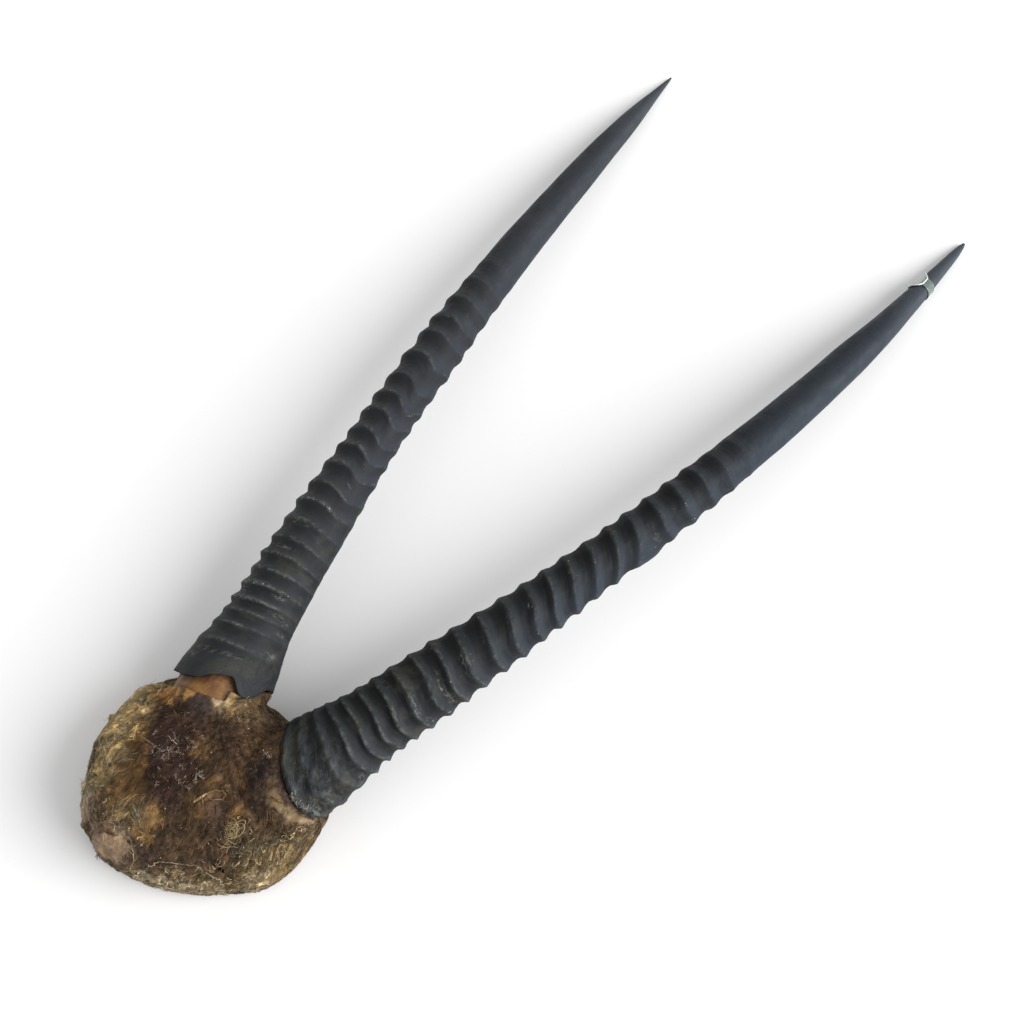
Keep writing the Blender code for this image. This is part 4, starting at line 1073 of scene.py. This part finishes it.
def tangle(rng, tree, centres, fibres, size, length, steps):
    """Loose curled fibres round given places."""
    picks = rng.integers(0, len(centres), fibres)
    middle = np.array(centres)[picks] / 1000 + rng.normal(0, size, (fibres, 3)) * (1, 1, 0.3)
    q, n = nearest(tree, middle)
    path = [q + n * rng.uniform(0.0002, 0.0030, fibres)[:, None]]
    heading = unit(rng.normal(size=(fibres, 3)))
    bend = rng.normal(size=(fibres, 3)) * rng.uniform(0.2, 1.1, (fibres, 1))
    step = length * rng.uniform(0.4, 1.5, fibres)[:, None] / steps
    for _ in range(steps - 1):
        heading = heading - 0.55 * n * np.sum(heading * n, axis=1, keepdims=True)
        heading = unit(heading + np.cross(bend, heading) * 0.55 + 0.35 * rng.normal(size=(fibres, 3)))
        path.append(path[-1] + heading * step)
    return np.clip(np.stack(path, axis=1), *HAIR_BOX)


def plume(rng, tree, material):
    """Pale down: short strokes laid on the hair, each with a few barbs."""
    paths, widths = [], []
    for points in PLUMES:
        line, n = rest_on(tree, spline(points, PLUME_STEPS), 0.0022)
        paths.append(line + rng.normal(0, 0.00015, line.shape))
        widths.append(PLUME_WIDTH * rng.uniform(0.7, 1.2))
        heading = unit(line[-1] - line[0])
        for _ in range(PLUME_BARBS):
            start = line[0] + (line[-1] - line[0]) * rng.uniform(0, 1)
            start = line[np.linalg.norm(line - start, axis=1).argmin()]
            turn = rng.choice([-1, 1]) * rng.uniform(0.5, 1.4)
            way = heading * math.cos(turn) + np.cross(n[0], heading) * math.sin(turn)
            bend = rng.normal(0, 0.5, 3)
            t = np.linspace(0, 1, PLUME_STEPS)[:, None]
            paths.append(start + (way * t + 0.5 * np.cross(bend, way) * t * t) * rng.uniform(0.0010, 0.0028))
            widths.append(BARB_WIDTH * rng.uniform(0.7, 1.2))
    widths = np.array(widths)[:, None] * np.linspace(1, 0.6, PLUME_STEPS)[None]
    shade = np.exp(rng.normal(0, 0.30, len(paths)))[:, None, None]
    colours = np.repeat(linear(PLUME_TINT)[None, None] * shade, PLUME_STEPS, axis=1)
    paths = np.clip(np.stack(paths), *HAIR_BOX)
    place_piece(strand_mesh("pale_fluff", paths, widths, colours, material), "scalp")


def fibres(rng, name, paths, width, tint, spread, material):
    """Thin fibres that are all of one kind."""
    steps = paths.shape[1]
    widths = width * rng.uniform(0.7, 1.4, len(paths))[:, None] * np.linspace(1, 0.5, steps)[None]
    colours = linear(tint)[None, None] * np.exp(rng.normal(0, spread, len(paths)))[:, None, None]
    place_piece(strand_mesh(name, paths, widths, np.repeat(colours, steps, axis=1), material), "scalp")


# ---------------------------------------------------------------- smooth tubes along a few points
def spline(points, count):
    """Evenly stepped smooth line through points."""
    p = np.array(points, float)
    t = np.linspace(0, len(p) - 1, count)
    k = np.clip(np.floor(t).astype(int), 0, len(p) - 2)
    return curved(*(p[np.clip(k + i, 0, len(p) - 1)] for i in (-1, 0, 1, 2)), (t - k)[:, None])


def tube(name, line, radii, sides, material, flat=1.0, facing=(0, 0, 1.0), closed=False):
    """Tube along a line; flat below 1 thins it along the facing direction."""
    round_about = np.roll(line, -1, axis=0) - np.roll(line, 1, axis=0)
    heading = unit(round_about if closed else np.gradient(line, axis=0))
    up = np.broadcast_to(facing, line.shape)
    up = unit(up - heading * np.sum(up * heading, axis=1, keepdims=True))
    side = np.cross(heading, up)
    a = math.tau * np.arange(sides) / sides
    ring = side[:, None] * np.cos(a)[None, :, None] + up[:, None] * (np.sin(a) * flat)[None, :, None]
    verts = (line[:, None] + ring * np.broadcast_to(radii, len(line))[:, None, None]).reshape(-1, 3)
    if closed:
        quads = ring_faces(len(line) + 1, sides) % len(verts)
        return mesh_object(name, np.clip(verts, *CAD_BOX), quads, [], material)
    verts = np.clip(np.concatenate([verts, line[[0, -1]]]), *CAD_BOX)
    return mesh_object(name, verts, ring_faces(len(line), sides), end_faces(len(line), sides), material)


# ---------------------------------------------------------------- bone
def build_bone(horn, material):
    """Skull cap: the CAD form, rounded, with a pitted surface and a flat sawn underside."""
    bone, co, normal = remeshed("skull_bone", "skull_cap", *BONE_MESH)
    rise = smoothstep(0.001, 0.006, co[:, 2])
    push = rise * (0.00045 * noise(co, 0.010, 90) + 0.00018 * noise(co, 0.0030, 91))
    moved = co + normal * push[:, None]
    moved[:, 2] = np.where(co[:, 2] < 0.0009, 0.0, moved[:, 2])
    reshape(bone, moved, material)
    set_layer(bone, "rim", 1 - smoothstep(0.0015, 0.0065, gaps(tree_of(horn)[0], moved)))
    place_piece(bone, "skull_cap", "skull_cap")


def bone_material():
    g = Graph("old_bone")
    place = g.position()
    big = g.noise(place, 55.0, 5.0, 0.6)
    fine = g.noise(place, 420.0, 5.0, 0.65)
    streak = g.noise(place, (230, 60, 230), 4.0, 0.6)
    stained = g.mix(g.span(big, 0.35, 0.65), (140, 100, 50), (106, 70, 36))
    stained = g.mix(g.span(streak, 0.5, 0.75, 0.0, 0.5), stained, (80, 46, 26))
    stained = g.mix(g.span(fine, 0.6, 0.75, 0.0, 0.4), stained, (168, 132, 88))
    stained = g.mix(g.times(g.attribute("rim"), g.span(big, 0.25, 0.6, 1.0, 0.45)), stained, (66, 34, 22))
    pores = g.times(g.span(g.cells(place, 620.0), 0.30, 0.12), g.span(g.noise(place, 90.0), 0.42, 0.58))
    sawn = g.mix(g.span(big, 0.35, 0.65), (186, 162, 124), (150, 122, 86))
    sawn = g.mix(pores, sawn, (84, 62, 42))
    level = g.node("SeparateXYZ", "Z", {"Vector": place})
    colour = g.mix(g.span(level, 0.0004, 0.0020), sawn, stained)
    grime = g.span(g.noise(place, 160.0, 5.0, 0.7), 0.48, 0.66, 0.0, 0.55)
    colour = g.mix(grime, colour, (76, 48, 32))
    normal = g.bump(g.math("SUBTRACT", fine, g.times(pores, 0.8)), 0.7, 0.0009)
    normal = g.bump(streak, 0.6, 0.0012, normal)
    return g.finish(colour, g.span(big, 0.3, 0.7, 0.42, 0.62), 0.4, normal)


# ---------------------------------------------------------------- tie near the right tip
TIE_RADIUS_ROOM = 0.0008
TIE_THICKNESS = 0.0003
TIE_ROWS, TIE_COLUMNS = 9, 120
FOLD_RADIUS, FOLD_LIFT, FOLD_POINTS = 0.00062, 0.0016, 70
# the thin edge: radius, lift, points, place, and degrees where it starts and ends
THIN_EDGE = (0.00032, 0.0011, 60, 0.7405, -8, 118)
# angle, and where the band starts and ends along the horn: it opens into a folded flap on the inner side
TIE_EDGES = (
    (-180, 0.7290, 0.7405), (-112, 0.7290, 0.7405), (-84, 0.7255, 0.7560), (-76, 0.7250, 0.7545),
    (-40, 0.7245, 0.7475), (-18, 0.7265, 0.7425), (-8, 0.7290, 0.7410), (180, 0.7290, 0.7405),
)
# distance along the horn and angle of the white folded line
TIE_FOLD = (
    (0.7250, -84), (0.7247, -62), (0.7245, -40), (0.7265, -18), (0.7305, -8), (0.7355, -8), (0.7410, -10),
    (0.7450, -28), (0.7545, -76),
)


def on_right_horn(distance, degrees, lift):
    distance, angle = np.asarray(distance, float), np.radians(degrees)
    return RIGHT.spot(distance, angle, through(RIGHT.radius, distance) + lift)


def sheet(name, grid, thickness, material):
    """Thin closed sheet from a grid of points (rows, columns, 3) whose rows run all round."""
    rows, columns = grid.shape[:2]
    du = np.gradient(grid, axis=0)
    dv = (np.roll(grid, -1, 1) - np.roll(grid, 1, 1)) / 2
    half = unit(np.cross(du, dv)) * thickness / 2
    verts = np.clip(np.concatenate([(grid + half).reshape(-1, 3), (grid - half).reshape(-1, 3)]), *CAD_BOX)
    inner = ring_faces(rows, columns)
    low = rows * columns
    i = np.arange(columns)
    j = (i + 1) % columns
    start = np.stack([i, j, j + low, i + low], -1)
    end = (start + low - columns)[:, ::-1]
    quads = np.concatenate([inner[:, [0, 3, 2, 1]], inner + low, start, end])
    return mesh_object(name, verts, quads, [], material)


def build_tie():
    """Clear strap round the right horn with its folded line and its thin edge, coloured white and pale grey
    as painted highlights.
    """
    degrees = -180 + 360 * np.arange(TIE_COLUMNS) / TIE_COLUMNS
    start, end = (np.interp(degrees, *np.array(TIE_EDGES)[:, [0, k]].T) for k in (1, 2))
    share = np.linspace(0, 1, TIE_ROWS)[:, None]
    lift = TIE_RADIUS_ROOM + 0.0010 * np.clip((end - start - 0.0125) / 0.012, 0, 1)
    ripple = 0.00012 * np.sin(np.radians(degrees) * 9 + 8 * share)
    places = start + (end - start) * share
    grid = on_right_horn(places, np.broadcast_to(degrees, places.shape), lift + ripple)
    film = film_material("clear_film", (100, 114, 110), 0.22, flap=True)
    # painted highlights: the folded line is white and the thin edge pale grey, for the light the clear film
    # catches there
    film_fold_highlight = film_material("white_fold_highlight", (238, 242, 240), 0.3)
    grey = film_material("film_edge_highlight", (176, 184, 182), 0.25)
    band = sheet("tie_band", grid, TIE_THICKNESS, film)
    set_layer(band, "flap", np.tile(np.clip((end - start - 0.0135) / 0.006, 0, 1), 2 * TIE_ROWS))
    place_piece(band, "tag_tie", "tag_tie")
    fold = np.array(TIE_FOLD)
    steps = np.linspace(0, len(fold) - 1, FOLD_POINTS)
    path = on_right_horn(*(np.interp(steps, np.arange(len(fold)), column) for column in fold.T), FOLD_LIFT)
    radii = FOLD_RADIUS * np.clip(np.minimum(steps, len(fold) - 1 - steps) * 2.2, 0.25, 1)
    place_piece(tube("tie_fold", path, radii, 8, film_fold_highlight), "tag_tie")
    radius, lift, count, place, start, end = THIN_EDGE
    path = on_right_horn(np.full(count, place), np.linspace(start, end, count), lift)
    place_piece(tube("tie_edge", path, radius, 6, grey), "tag_tie")


def film_material(name, tint, rough, flap=False):
    g = Graph(name)
    place = g.position()
    cloud = g.noise(place, 420.0, 3.0, 0.6)
    colour = g.mix(g.span(cloud, 0.35, 0.65, 0.0, 0.35), tint, 0.62 * linear(tint))
    if flap:
        colour = g.mix(g.times(g.attribute("flap"), 0.8), colour, (186, 194, 190))
    return g.finish(colour, rough, 0.5, g.bump(g.noise(place, 900.0, 2.0), 0.2, 0.0002))


# ---------------------------------------------------------------- straw, chips and dried skin edges
def rest_on(tree, points, lift):
    """Points given in millimetres, moved to just above the skin."""
    q, n = nearest(tree, np.array(points, float) / 1000)
    return q + n * lift, n


def laid_tube(name, tree, points, count, radius, lift, wave, material):
    """Tapered tube that follows the skin through a few points."""
    path = spline(points, count)
    wobble = noise3(path / 1000, 0.004, 95) + 0.6 * noise3(path / 1000, 0.0015, 98)
    path, n = rest_on(tree, path + wave * 1000 * wobble, lift)
    radii = radius * (1 - 0.7 * np.abs(np.linspace(-1, 1, count)) ** 3)
    place_piece(tube(name, path, radii, 6, material, facing=n), "scalp")


def crumbs(name, tree, rng, centres, count, size, lifts, tint, material):
    """Small grains caught in the hair or stuck to a rim."""
    picked = np.array(centres, float)[rng.integers(0, len(centres), count)] / 1000
    q, n = nearest(tree, picked[:, :3] + rng.normal(size=(count, 3)) * picked[:, 3:])
    middle = q + n * rng.uniform(*lifts, count)[:, None]
    middle = np.clip(middle, HAIR_BOX[0] + 0.0006, HAIR_BOX[1] - 0.0006)
    axes = rng.normal(size=(count, 3, 3))
    reach = size * rng.uniform(0.3, 1.0, (count, 6))
    corner = np.concatenate([unit(axes), -unit(axes)], axis=1) * reach[..., None]
    verts = (middle[:, None] + corner).reshape(-1, 3)
    shape = np.array([(0, 1, 2), (1, 3, 2), (3, 4, 2), (4, 0, 2), (1, 0, 5), (3, 1, 5), (4, 3, 5), (0, 4, 5)])
    thing = mesh_object(name, verts, [], np.arange(count)[:, None, None] * 6 + shape, material, smooth=False)
    shade = np.repeat(np.exp(rng.normal(0, 0.35, count)), 6)
    set_layer(thing, "tint", np.clip(linear(tint)[None] * shade[:, None], 0, 0.9), "FLOAT_COLOR")
    return thing


def straw_material(name, tint):
    g = Graph(name)
    streak = g.noise(g.position(), 520.0, 4.0, 0.6)
    colour = g.mix(g.span(streak, 0.3, 0.7), tint, 0.55 * linear(tint))
    return g.finish(colour, 0.62, 0.35, g.bump(streak, 0.4, 0.0003))


# places and lines in millimetres in the row frame
STALKS = (
    ((-70, -414, 66), (-61, -425, 70), (-54, -436, 70)), ((66, -399, 60), (68, -406, 55), (70, -414, 48)),
    ((77, -374, 62), (79, -381, 50), (80, -386, 40)), ((-76, -388, 66), (-82, -394, 58), (-86, -404, 48)),
    ((-66, -402, 73), (-72, -408, 68), (-74, -420, 60)),
    ((-84, -372, 56), (-92, -380, 46), (-96, -392, 38)), ((51, -404, 74), (52, -410, 71), (50, -414, 70)),
    ((46, -412, 74), (54, -409, 70), (60, -405, 66)),
)
EDGE_LINE = ((1, -467, 40), (9, -466, 32), (14, -458, 50), (18, -453, 58), (25, -445, 60), (42, -434, 59))
EDGE_LINE_END = (
    (42, -434, 59), (50, -432, 50), (56, -432, 42), (60, -433, 30), (57, -440, 24), (62, -434, 18),
)
FLAP_RIM = (
    (-39, -469, 44), (-35, -461, 58), (-26, -453, 72), (-17, -450, 73), (-8, -451, 70), (-1, -454, 65),
    (4, -461, 55), (2, -468, 46),
)
CRUMB_PLACES = (
    (-31, -383, 84), (-27, -386, 84), (-29, -392, 86), (-24, -396, 86), (-36, -394, 83), (-2, -393, 85),
    (1, -391, 85), (33, -344, 82), (36, -348, 84), (-12, -399, 85), (7, -387, 85), (-18, -383, 85),
)
PLUMES = (
    ((-42, -393, 84), (-39, -393, 85), (-33, -392, 86), (-30, -391, 86)),
    ((-31, -392, 86), (-27, -389, 86), (-24, -387, 85)),
    ((-25, -396, 86), (-25, -393, 86), (-24, -390, 86)),
    ((-24, -390, 86), (-22, -387, 85), (-20, -385, 85)),
    ((-20, -385, 85), (-17, -384, 85), (-14, -384, 84)),
    ((-29, -387, 85), (-26, -388, 86), (-24, -389, 85)), ((-23, -390, 86), (-20, -392, 86)),
    ((-27, -390, 86), (-28, -393, 86), (-30, -395, 86)), ((-34, -395, 84), (-32, -397, 84)),
    ((-25, -395, 86), (-22, -395, 86)),
    ((-37, -377, 82), (-34, -377, 83), (-31, -378, 83), (-28, -379, 82), (-26, -380, 83), (-25, -382, 84)),
    ((-25, -382, 84), (-28, -382, 84), (-32, -381, 84), (-34, -381, 84)),
    ((-31, -378, 83), (-26, -379, 83)), ((-23, -372, 82), (-20, -372, 83)),
    ((-18, -372, 84), (-15, -373, 84)), ((-13, -375, 84), (-11, -375, 84)),
    ((-15, -365, 82), (-13, -366, 83)), ((-15, -379, 84), (-15, -377, 84)),
    ((5, -392, 84), (5, -388, 84), (6, -386, 84)), ((6, -386, 84), (10, -386, 84), (10, -384, 84)),
    ((5, -388, 84), (3, -386, 84)), ((6, -386, 84), (5, -383, 84)), ((6, -384, 84), (9, -384, 84)),
    ((6, -392, 84), (8, -392, 84)), ((-11, -390, 86), (-8, -390, 86)), ((-9, -398, 86), (-7, -397, 86)),
    ((4, -398, 85), (8, -397, 85)), ((-15, -410, 84), (-13, -411, 84)), ((-20, -400, 85), (-19, -402, 86)),
    ((-42, -388, 84), (-43, -385, 84)), ((-2, -400, 86), (-2, -397, 86)),
    ((30, -344, 82), (33, -343, 81), (35, -344, 81)), ((33, -345, 81), (34, -342, 81)),
)
FRIZZ = (
    (-4, -358, 81), (16, -352, 80), (24, -366, 84), (-12, -370, 84), (8, -378, 84), (30, -378, 84),
    (-20, -402, 85), (0, -412, 84), (18, -410, 82), (38, -392, 82), (14, -424, 80), (40, -414, 76),
    (-36, -372, 82), (14, -440, 70), (24, -338, 70), (-58, -400, 76), (52, -412, 70),
)
PALE_FRIZZ = (
    (-72, -394, 69), (-66, -410, 70), (-80, -380, 58), (-60, -430, 66), (-76, -372, 64), (-90, -400, 36),
    (-84, -362, 54), (-64, -420, 66), (-88, -386, 48), (-66, -440, 52), (80, -372, 58), (74, -392, 54),
    (66, -404, 56), (56, -400, 72), (50, -420, 60), (30, -446, 52), (-10, -452, 72), (10, -460, 40),
    (40, -444, 40), (60, -428, 36), (-30, -448, 76), (82, -384, 40), (-12, -330, 70),
)
# below, places on the skin and LOOP_HALVES are in millimetres; radii, widths and the sprig are in metres
CURL_PLACE, CURL_RADIUS, CURL_TURNS, CURL_POINTS = (49, -397, 75), 0.0080, 6, 200
# pale crust on the lower rim of the right horn: place and reach in millimetres
RIM_CRUST = (
    (67, -352.5, 81.5, 1.0), (70, -353, 79, 1.0), (73, -353, 76.5, 1.2), (76, -352.8, 73.8, 1.2),
    (79, -352, 71, 1.0),
)
CORNER_TUFT = ((-75, -358, 63), (-78, -359, 59), (-78, -361, 60), (-80, -365, 58))
SPRIG_TWIGS, SPRIG_STEPS = 16, 6
SPRIG_FROM = np.array([-0.0215, -0.4720, 0.0520])
SPRIG_WAY = np.array([0.0022, -0.0058, -0.0030])
CHIP_ENDS = ((16.5, -402, 84), (19, -391.5, 84))
CHIP_HALF_WIDTH, CHIP_FLATNESS, CHIP_POINTS = 0.00105, 0.4, 14
# the twig's oval loop: its middle, halves and turn (cosine and sine), and how thick it is
LOOP_MIDDLE, LOOP_HALVES, LOOP_TURN = (25, -388, 84), (6.5, 3.2), (0.77, 0.64)
LOOP_RADIUS, LOOP_POINTS = 0.00034, 40


def scribble(tree, seed):
    """Loose ball of one long curled fibre."""
    middle, n = rest_on(tree, [CURL_PLACE], 0.0014)
    side = unit(np.cross(n, np.array([[0.3, 1.0, 0.2]])))
    a = np.linspace(0, CURL_TURNS, CURL_POINTS)
    drift = np.stack([a, np.full_like(a, 3.1 * seed), np.full_like(a, 1.7)], axis=1)
    x, y, z, swell, lean = (noise(drift, 1.3, 120 + k) for k in range(5))
    wide, tall = CURL_RADIUS * (0.42 + 0.35 * swell), CURL_RADIUS * (0.55 + 0.40 * lean)
    x = 0.7 * CURL_RADIUS * x + wide * np.cos(math.tau * a)
    y = 0.9 * CURL_RADIUS * y + tall * np.sin(math.tau * a + 0.8 * lean)
    path = middle + side * x[:, None] + np.cross(n, side) * y[:, None] + n * (0.0012 * np.abs(z))[:, None]
    return np.clip(path, *HAIR_BOX)


def build_chip(tree):
    """Short flat piece of straw."""
    ends, up = rest_on(tree, CHIP_ENDS, 0.0012)
    share = np.linspace(0, 1, CHIP_POINTS)
    width = CHIP_HALF_WIDTH * np.sin(math.pi * np.clip(share, 0.04, 0.94)) ** 0.5
    path = blend(ends[0], ends[1], share[:, None])
    straw = straw_material("pale_chip", (196, 164, 120))
    place_piece(tube("straw_chip", path, width, 8, straw, CHIP_FLATNESS, up[0]), "scalp")


def build_twig(tree):
    """Thin twig bent to an oval loop."""
    angle = np.linspace(0, math.tau, LOOP_POINTS, endpoint=False)
    (x, y, z), (cos, sin) = LOOP_MIDDLE, LOOP_TURN
    long, wide = LOOP_HALVES[0] * np.cos(angle), LOOP_HALVES[1] * np.sin(angle)
    x, y = x + cos * long - sin * wide, y + sin * long + cos * wide
    oval = np.stack([x, y, np.full_like(angle, z)], axis=1)
    path, facing = rest_on(tree, oval, 0.0011)
    twig = straw_material("brown_twig", (150, 116, 72))
    radii = LOOP_RADIUS * (1 + 0.3 * np.sin(3 * angle))
    place_piece(tube("twig_loop", path, radii, 6, twig, facing=facing, closed=True), "scalp")


def build_sprig(rng, material):
    """Small dark brush that stands out over the edge of the flap."""
    share = np.linspace(0, 1, SPRIG_STEPS)[None, :, None]
    path = SPRIG_FROM + rng.normal(0, 0.0007, (SPRIG_TWIGS, 1, 3)) + SPRIG_WAY * share
    path = path + rng.normal(0, 0.0011, (SPRIG_TWIGS, 1, 3)) * share
    path = np.clip(path + 0.0008 * noise3(path, 0.002, 150), *HAIR_BOX)
    fibres(rng, "sprig", path, 0.00055, (92, 84, 76), 0.4, material)


# ---------------------------------------------------------------- build everything
rng = np.random.default_rng(2024)

left_shades = ((33, 34, 36), (42, 44, 46), (42, 45, 49), (41, 46, 54), (112, 114, 109))
right_shades = ((20, 21, 22), (38, 41, 43), (37, 42, 48), (43, 51, 61), (112, 114, 110))
left_keratin = horn_material("keratin_left", 0.6, left_shades, 0.34, 0.70, 0.6, 0.30)
right_keratin = horn_material("keratin_right", 0.35, right_shades, 0.32, 0.45, 1.0, 0.60)
left_horn = build_horn("sheath_left", LEFT, left_keratin)
right_horn = build_horn("sheath_right", RIGHT, right_keratin)
place_piece(left_horn, "horn_left", "horn_left")
place_piece(right_horn, "horn_right", "horn_right")
build_bone(left_horn, bone_material())
build_tie()
scalp = build_skin(hide_material("dried_hide"))
place_piece(scalp, "scalp", "scalp")
skin = tree_of(scalp)
skin_tree = skin[0]

hair = hair_material("matted_hair")
# deep darkens the strands towards the root (painted shade inside the coat); tip is partly the hair's own
# paler tips and partly painted highlight
straw = {"seed": 80, "spread": 0.50, "tip": (238, 224, 188), "pale": 0.50, "deep": 0.52}
dark = {"seed": 81, "spread": 0.60, "tip": (162, 140, 112), "pale": 0.14, "deep": 0.50}
mixed = {"seed": 82, "spread": 0.66, "tip": (204, 186, 146), "pale": 0.20, "deep": 0.42}
cream = {"seed": 83, "spread": 0.42, "tip": (226, 214, 186), "pale": 0.42, "deep": 0.56}
# name, where it grows, locks, strands, length, height, width, clumping, frizz and colours
for row in (
    ("hair_straw", straw_weight, 640, 5200, 0.011, 0.0030, 0.00046, 0.85, 0.0030, straw),
    ("hair_dark", dark_weight, 800, 3200, 0.006, 0.0018, 0.00034, 0.80, 0.0022, dark),
    ("hair_mixed", rest_weight, 800, 4600, 0.009, 0.0021, 0.00044, 0.88, 0.0020, mixed),
    ("hair_fringe", fringe_weight, 420, 3200, 0.008, 0.0020, 0.00042, 0.84, 0.0016, cream),
):
    coat(rng, skin, *row, hair)
plume(rng, skin_tree, hair)
curls = tangle(rng, skin_tree, PALE_FRIZZ, 640, 0.0080, 0.0070, 7)
fibres(rng, "pale_frizz", curls, 0.00030, (208, 190, 150), 0.40, hair)
curls = tangle(rng, skin_tree, FRIZZ, 620, 0.0085, 0.0055, 6)
fibres(rng, "brown_frizz", curls, 0.00026, (92, 72, 52), 0.60, hair)
crumb_spots = [(*spot, 5) for spot in CRUMB_PLACES] + [(*spot, 9) for spot in FRIZZ]
grains = crumbs("crumbs", skin_tree, rng, crumb_spots, 260, 0.0007, (0.0004, 0.0018), (170, 150, 116), hair)
place_piece(grains, "scalp")

stalk = straw_material("dry_straw", (172, 146, 100))
edge = straw_material("dried_edge", (180, 164, 136))
rim = straw_material("flap_rim", (176, 158, 132))
wire = straw_material("wiry_fibre", (186, 162, 118))
for k, points in enumerate(STALKS):
    laid_tube(f"stalk_{k + 1}", skin_tree, points, 24, 0.00032, 0.0014, 0.0012, stalk)
for k in (1, 2):
    place_piece(tube(f"curl_{k}", scribble(skin_tree, k), 0.00024, 4, wire), "scalp")
build_chip(skin_tree)
build_twig(skin_tree)
laid_tube("skin_edge_1", skin_tree, EDGE_LINE, 110, 0.00034, 0.0010, 0.0012, edge)
laid_tube("skin_edge_2", skin_tree, EDGE_LINE_END, 90, 0.00028, 0.0010, 0.0014, edge)
laid_tube("flap_edge", skin_tree, FLAP_RIM, 110, 0.00045, 0.0006, 0.0007, rim)

build_sprig(rng, hair)
tuft = tangle(rng, skin_tree, CORNER_TUFT, 110, 0.0013, 0.0075, 6)
fibres(rng, "corner_tuft", tuft, 0.00044, (158, 140, 104), 0.40, hair)
right_tree = tree_of(right_horn)[0]
crust = crumbs("rim_crust", right_tree, rng, RIM_CRUST, 90, 0.0008, (0.0000, 0.0004), (152, 146, 132), hair)
place_piece(crust, "horn_right")

# ---------------------------------------------------------------- floor, light, camera
paper = Graph("white_paper").finish(np.full(3, PAPER_WHITE), 0.9, 0.0)
corners = [(x * PAPER_HALF, y * PAPER_HALF, 0) for x, y in ((-1, -1), (1, -1), (1, 1), (-1, 1))]
floor = mesh_object("floor", corners, [(0, 1, 2, 3)], [], paper, smooth=False)

world = bpy.data.worlds.new("studio")
bpy.context.scene.world = world
world.use_nodes = True
sky = world.node_tree.nodes["Background"].inputs
sky["Color"].default_value = (1.0, 1.0, 1.0, 1.0)
sky["Strength"].default_value = SKY_STRENGTH

sun = bpy.data.lights.new("window", "SUN")
sun.energy = SUN_STRENGTH
sun.angle = math.radians(SUN_ANGLE)
window = add_object("window", sun)
window.rotation_euler = Vector(LIGHT_FROM).to_track_quat("Z", "Y").to_euler()

azimuth, elevation = math.radians(CAMERA_AZIMUTH), math.radians(CAMERA_ELEVATION)
right = Vector((math.cos(azimuth), math.sin(azimuth), 0))
level = math.cos(elevation)
back = Vector((math.sin(azimuth) * level, -math.cos(azimuth) * level, math.sin(elevation)))
camera_data = bpy.data.cameras.new("photo_view")
camera_data.sensor_width = CAMERA_SENSOR
camera_data.lens = CAMERA_LENS
camera_data.clip_start = CAMERA_NEAR
camera = add_object("photo_view", camera_data)
turn = Matrix((right, back.cross(right), back)).transposed().to_4x4()
turn.translation = CAMERA_TARGET + back * CAMERA_DISTANCE
camera.matrix_world = turn
bpy.context.scene.camera = camera
bpy.context.scene.view_settings.view_transform = "Standard"
bpy.context.scene.view_settings.look = "None"

bpy.context.view_layer.update()
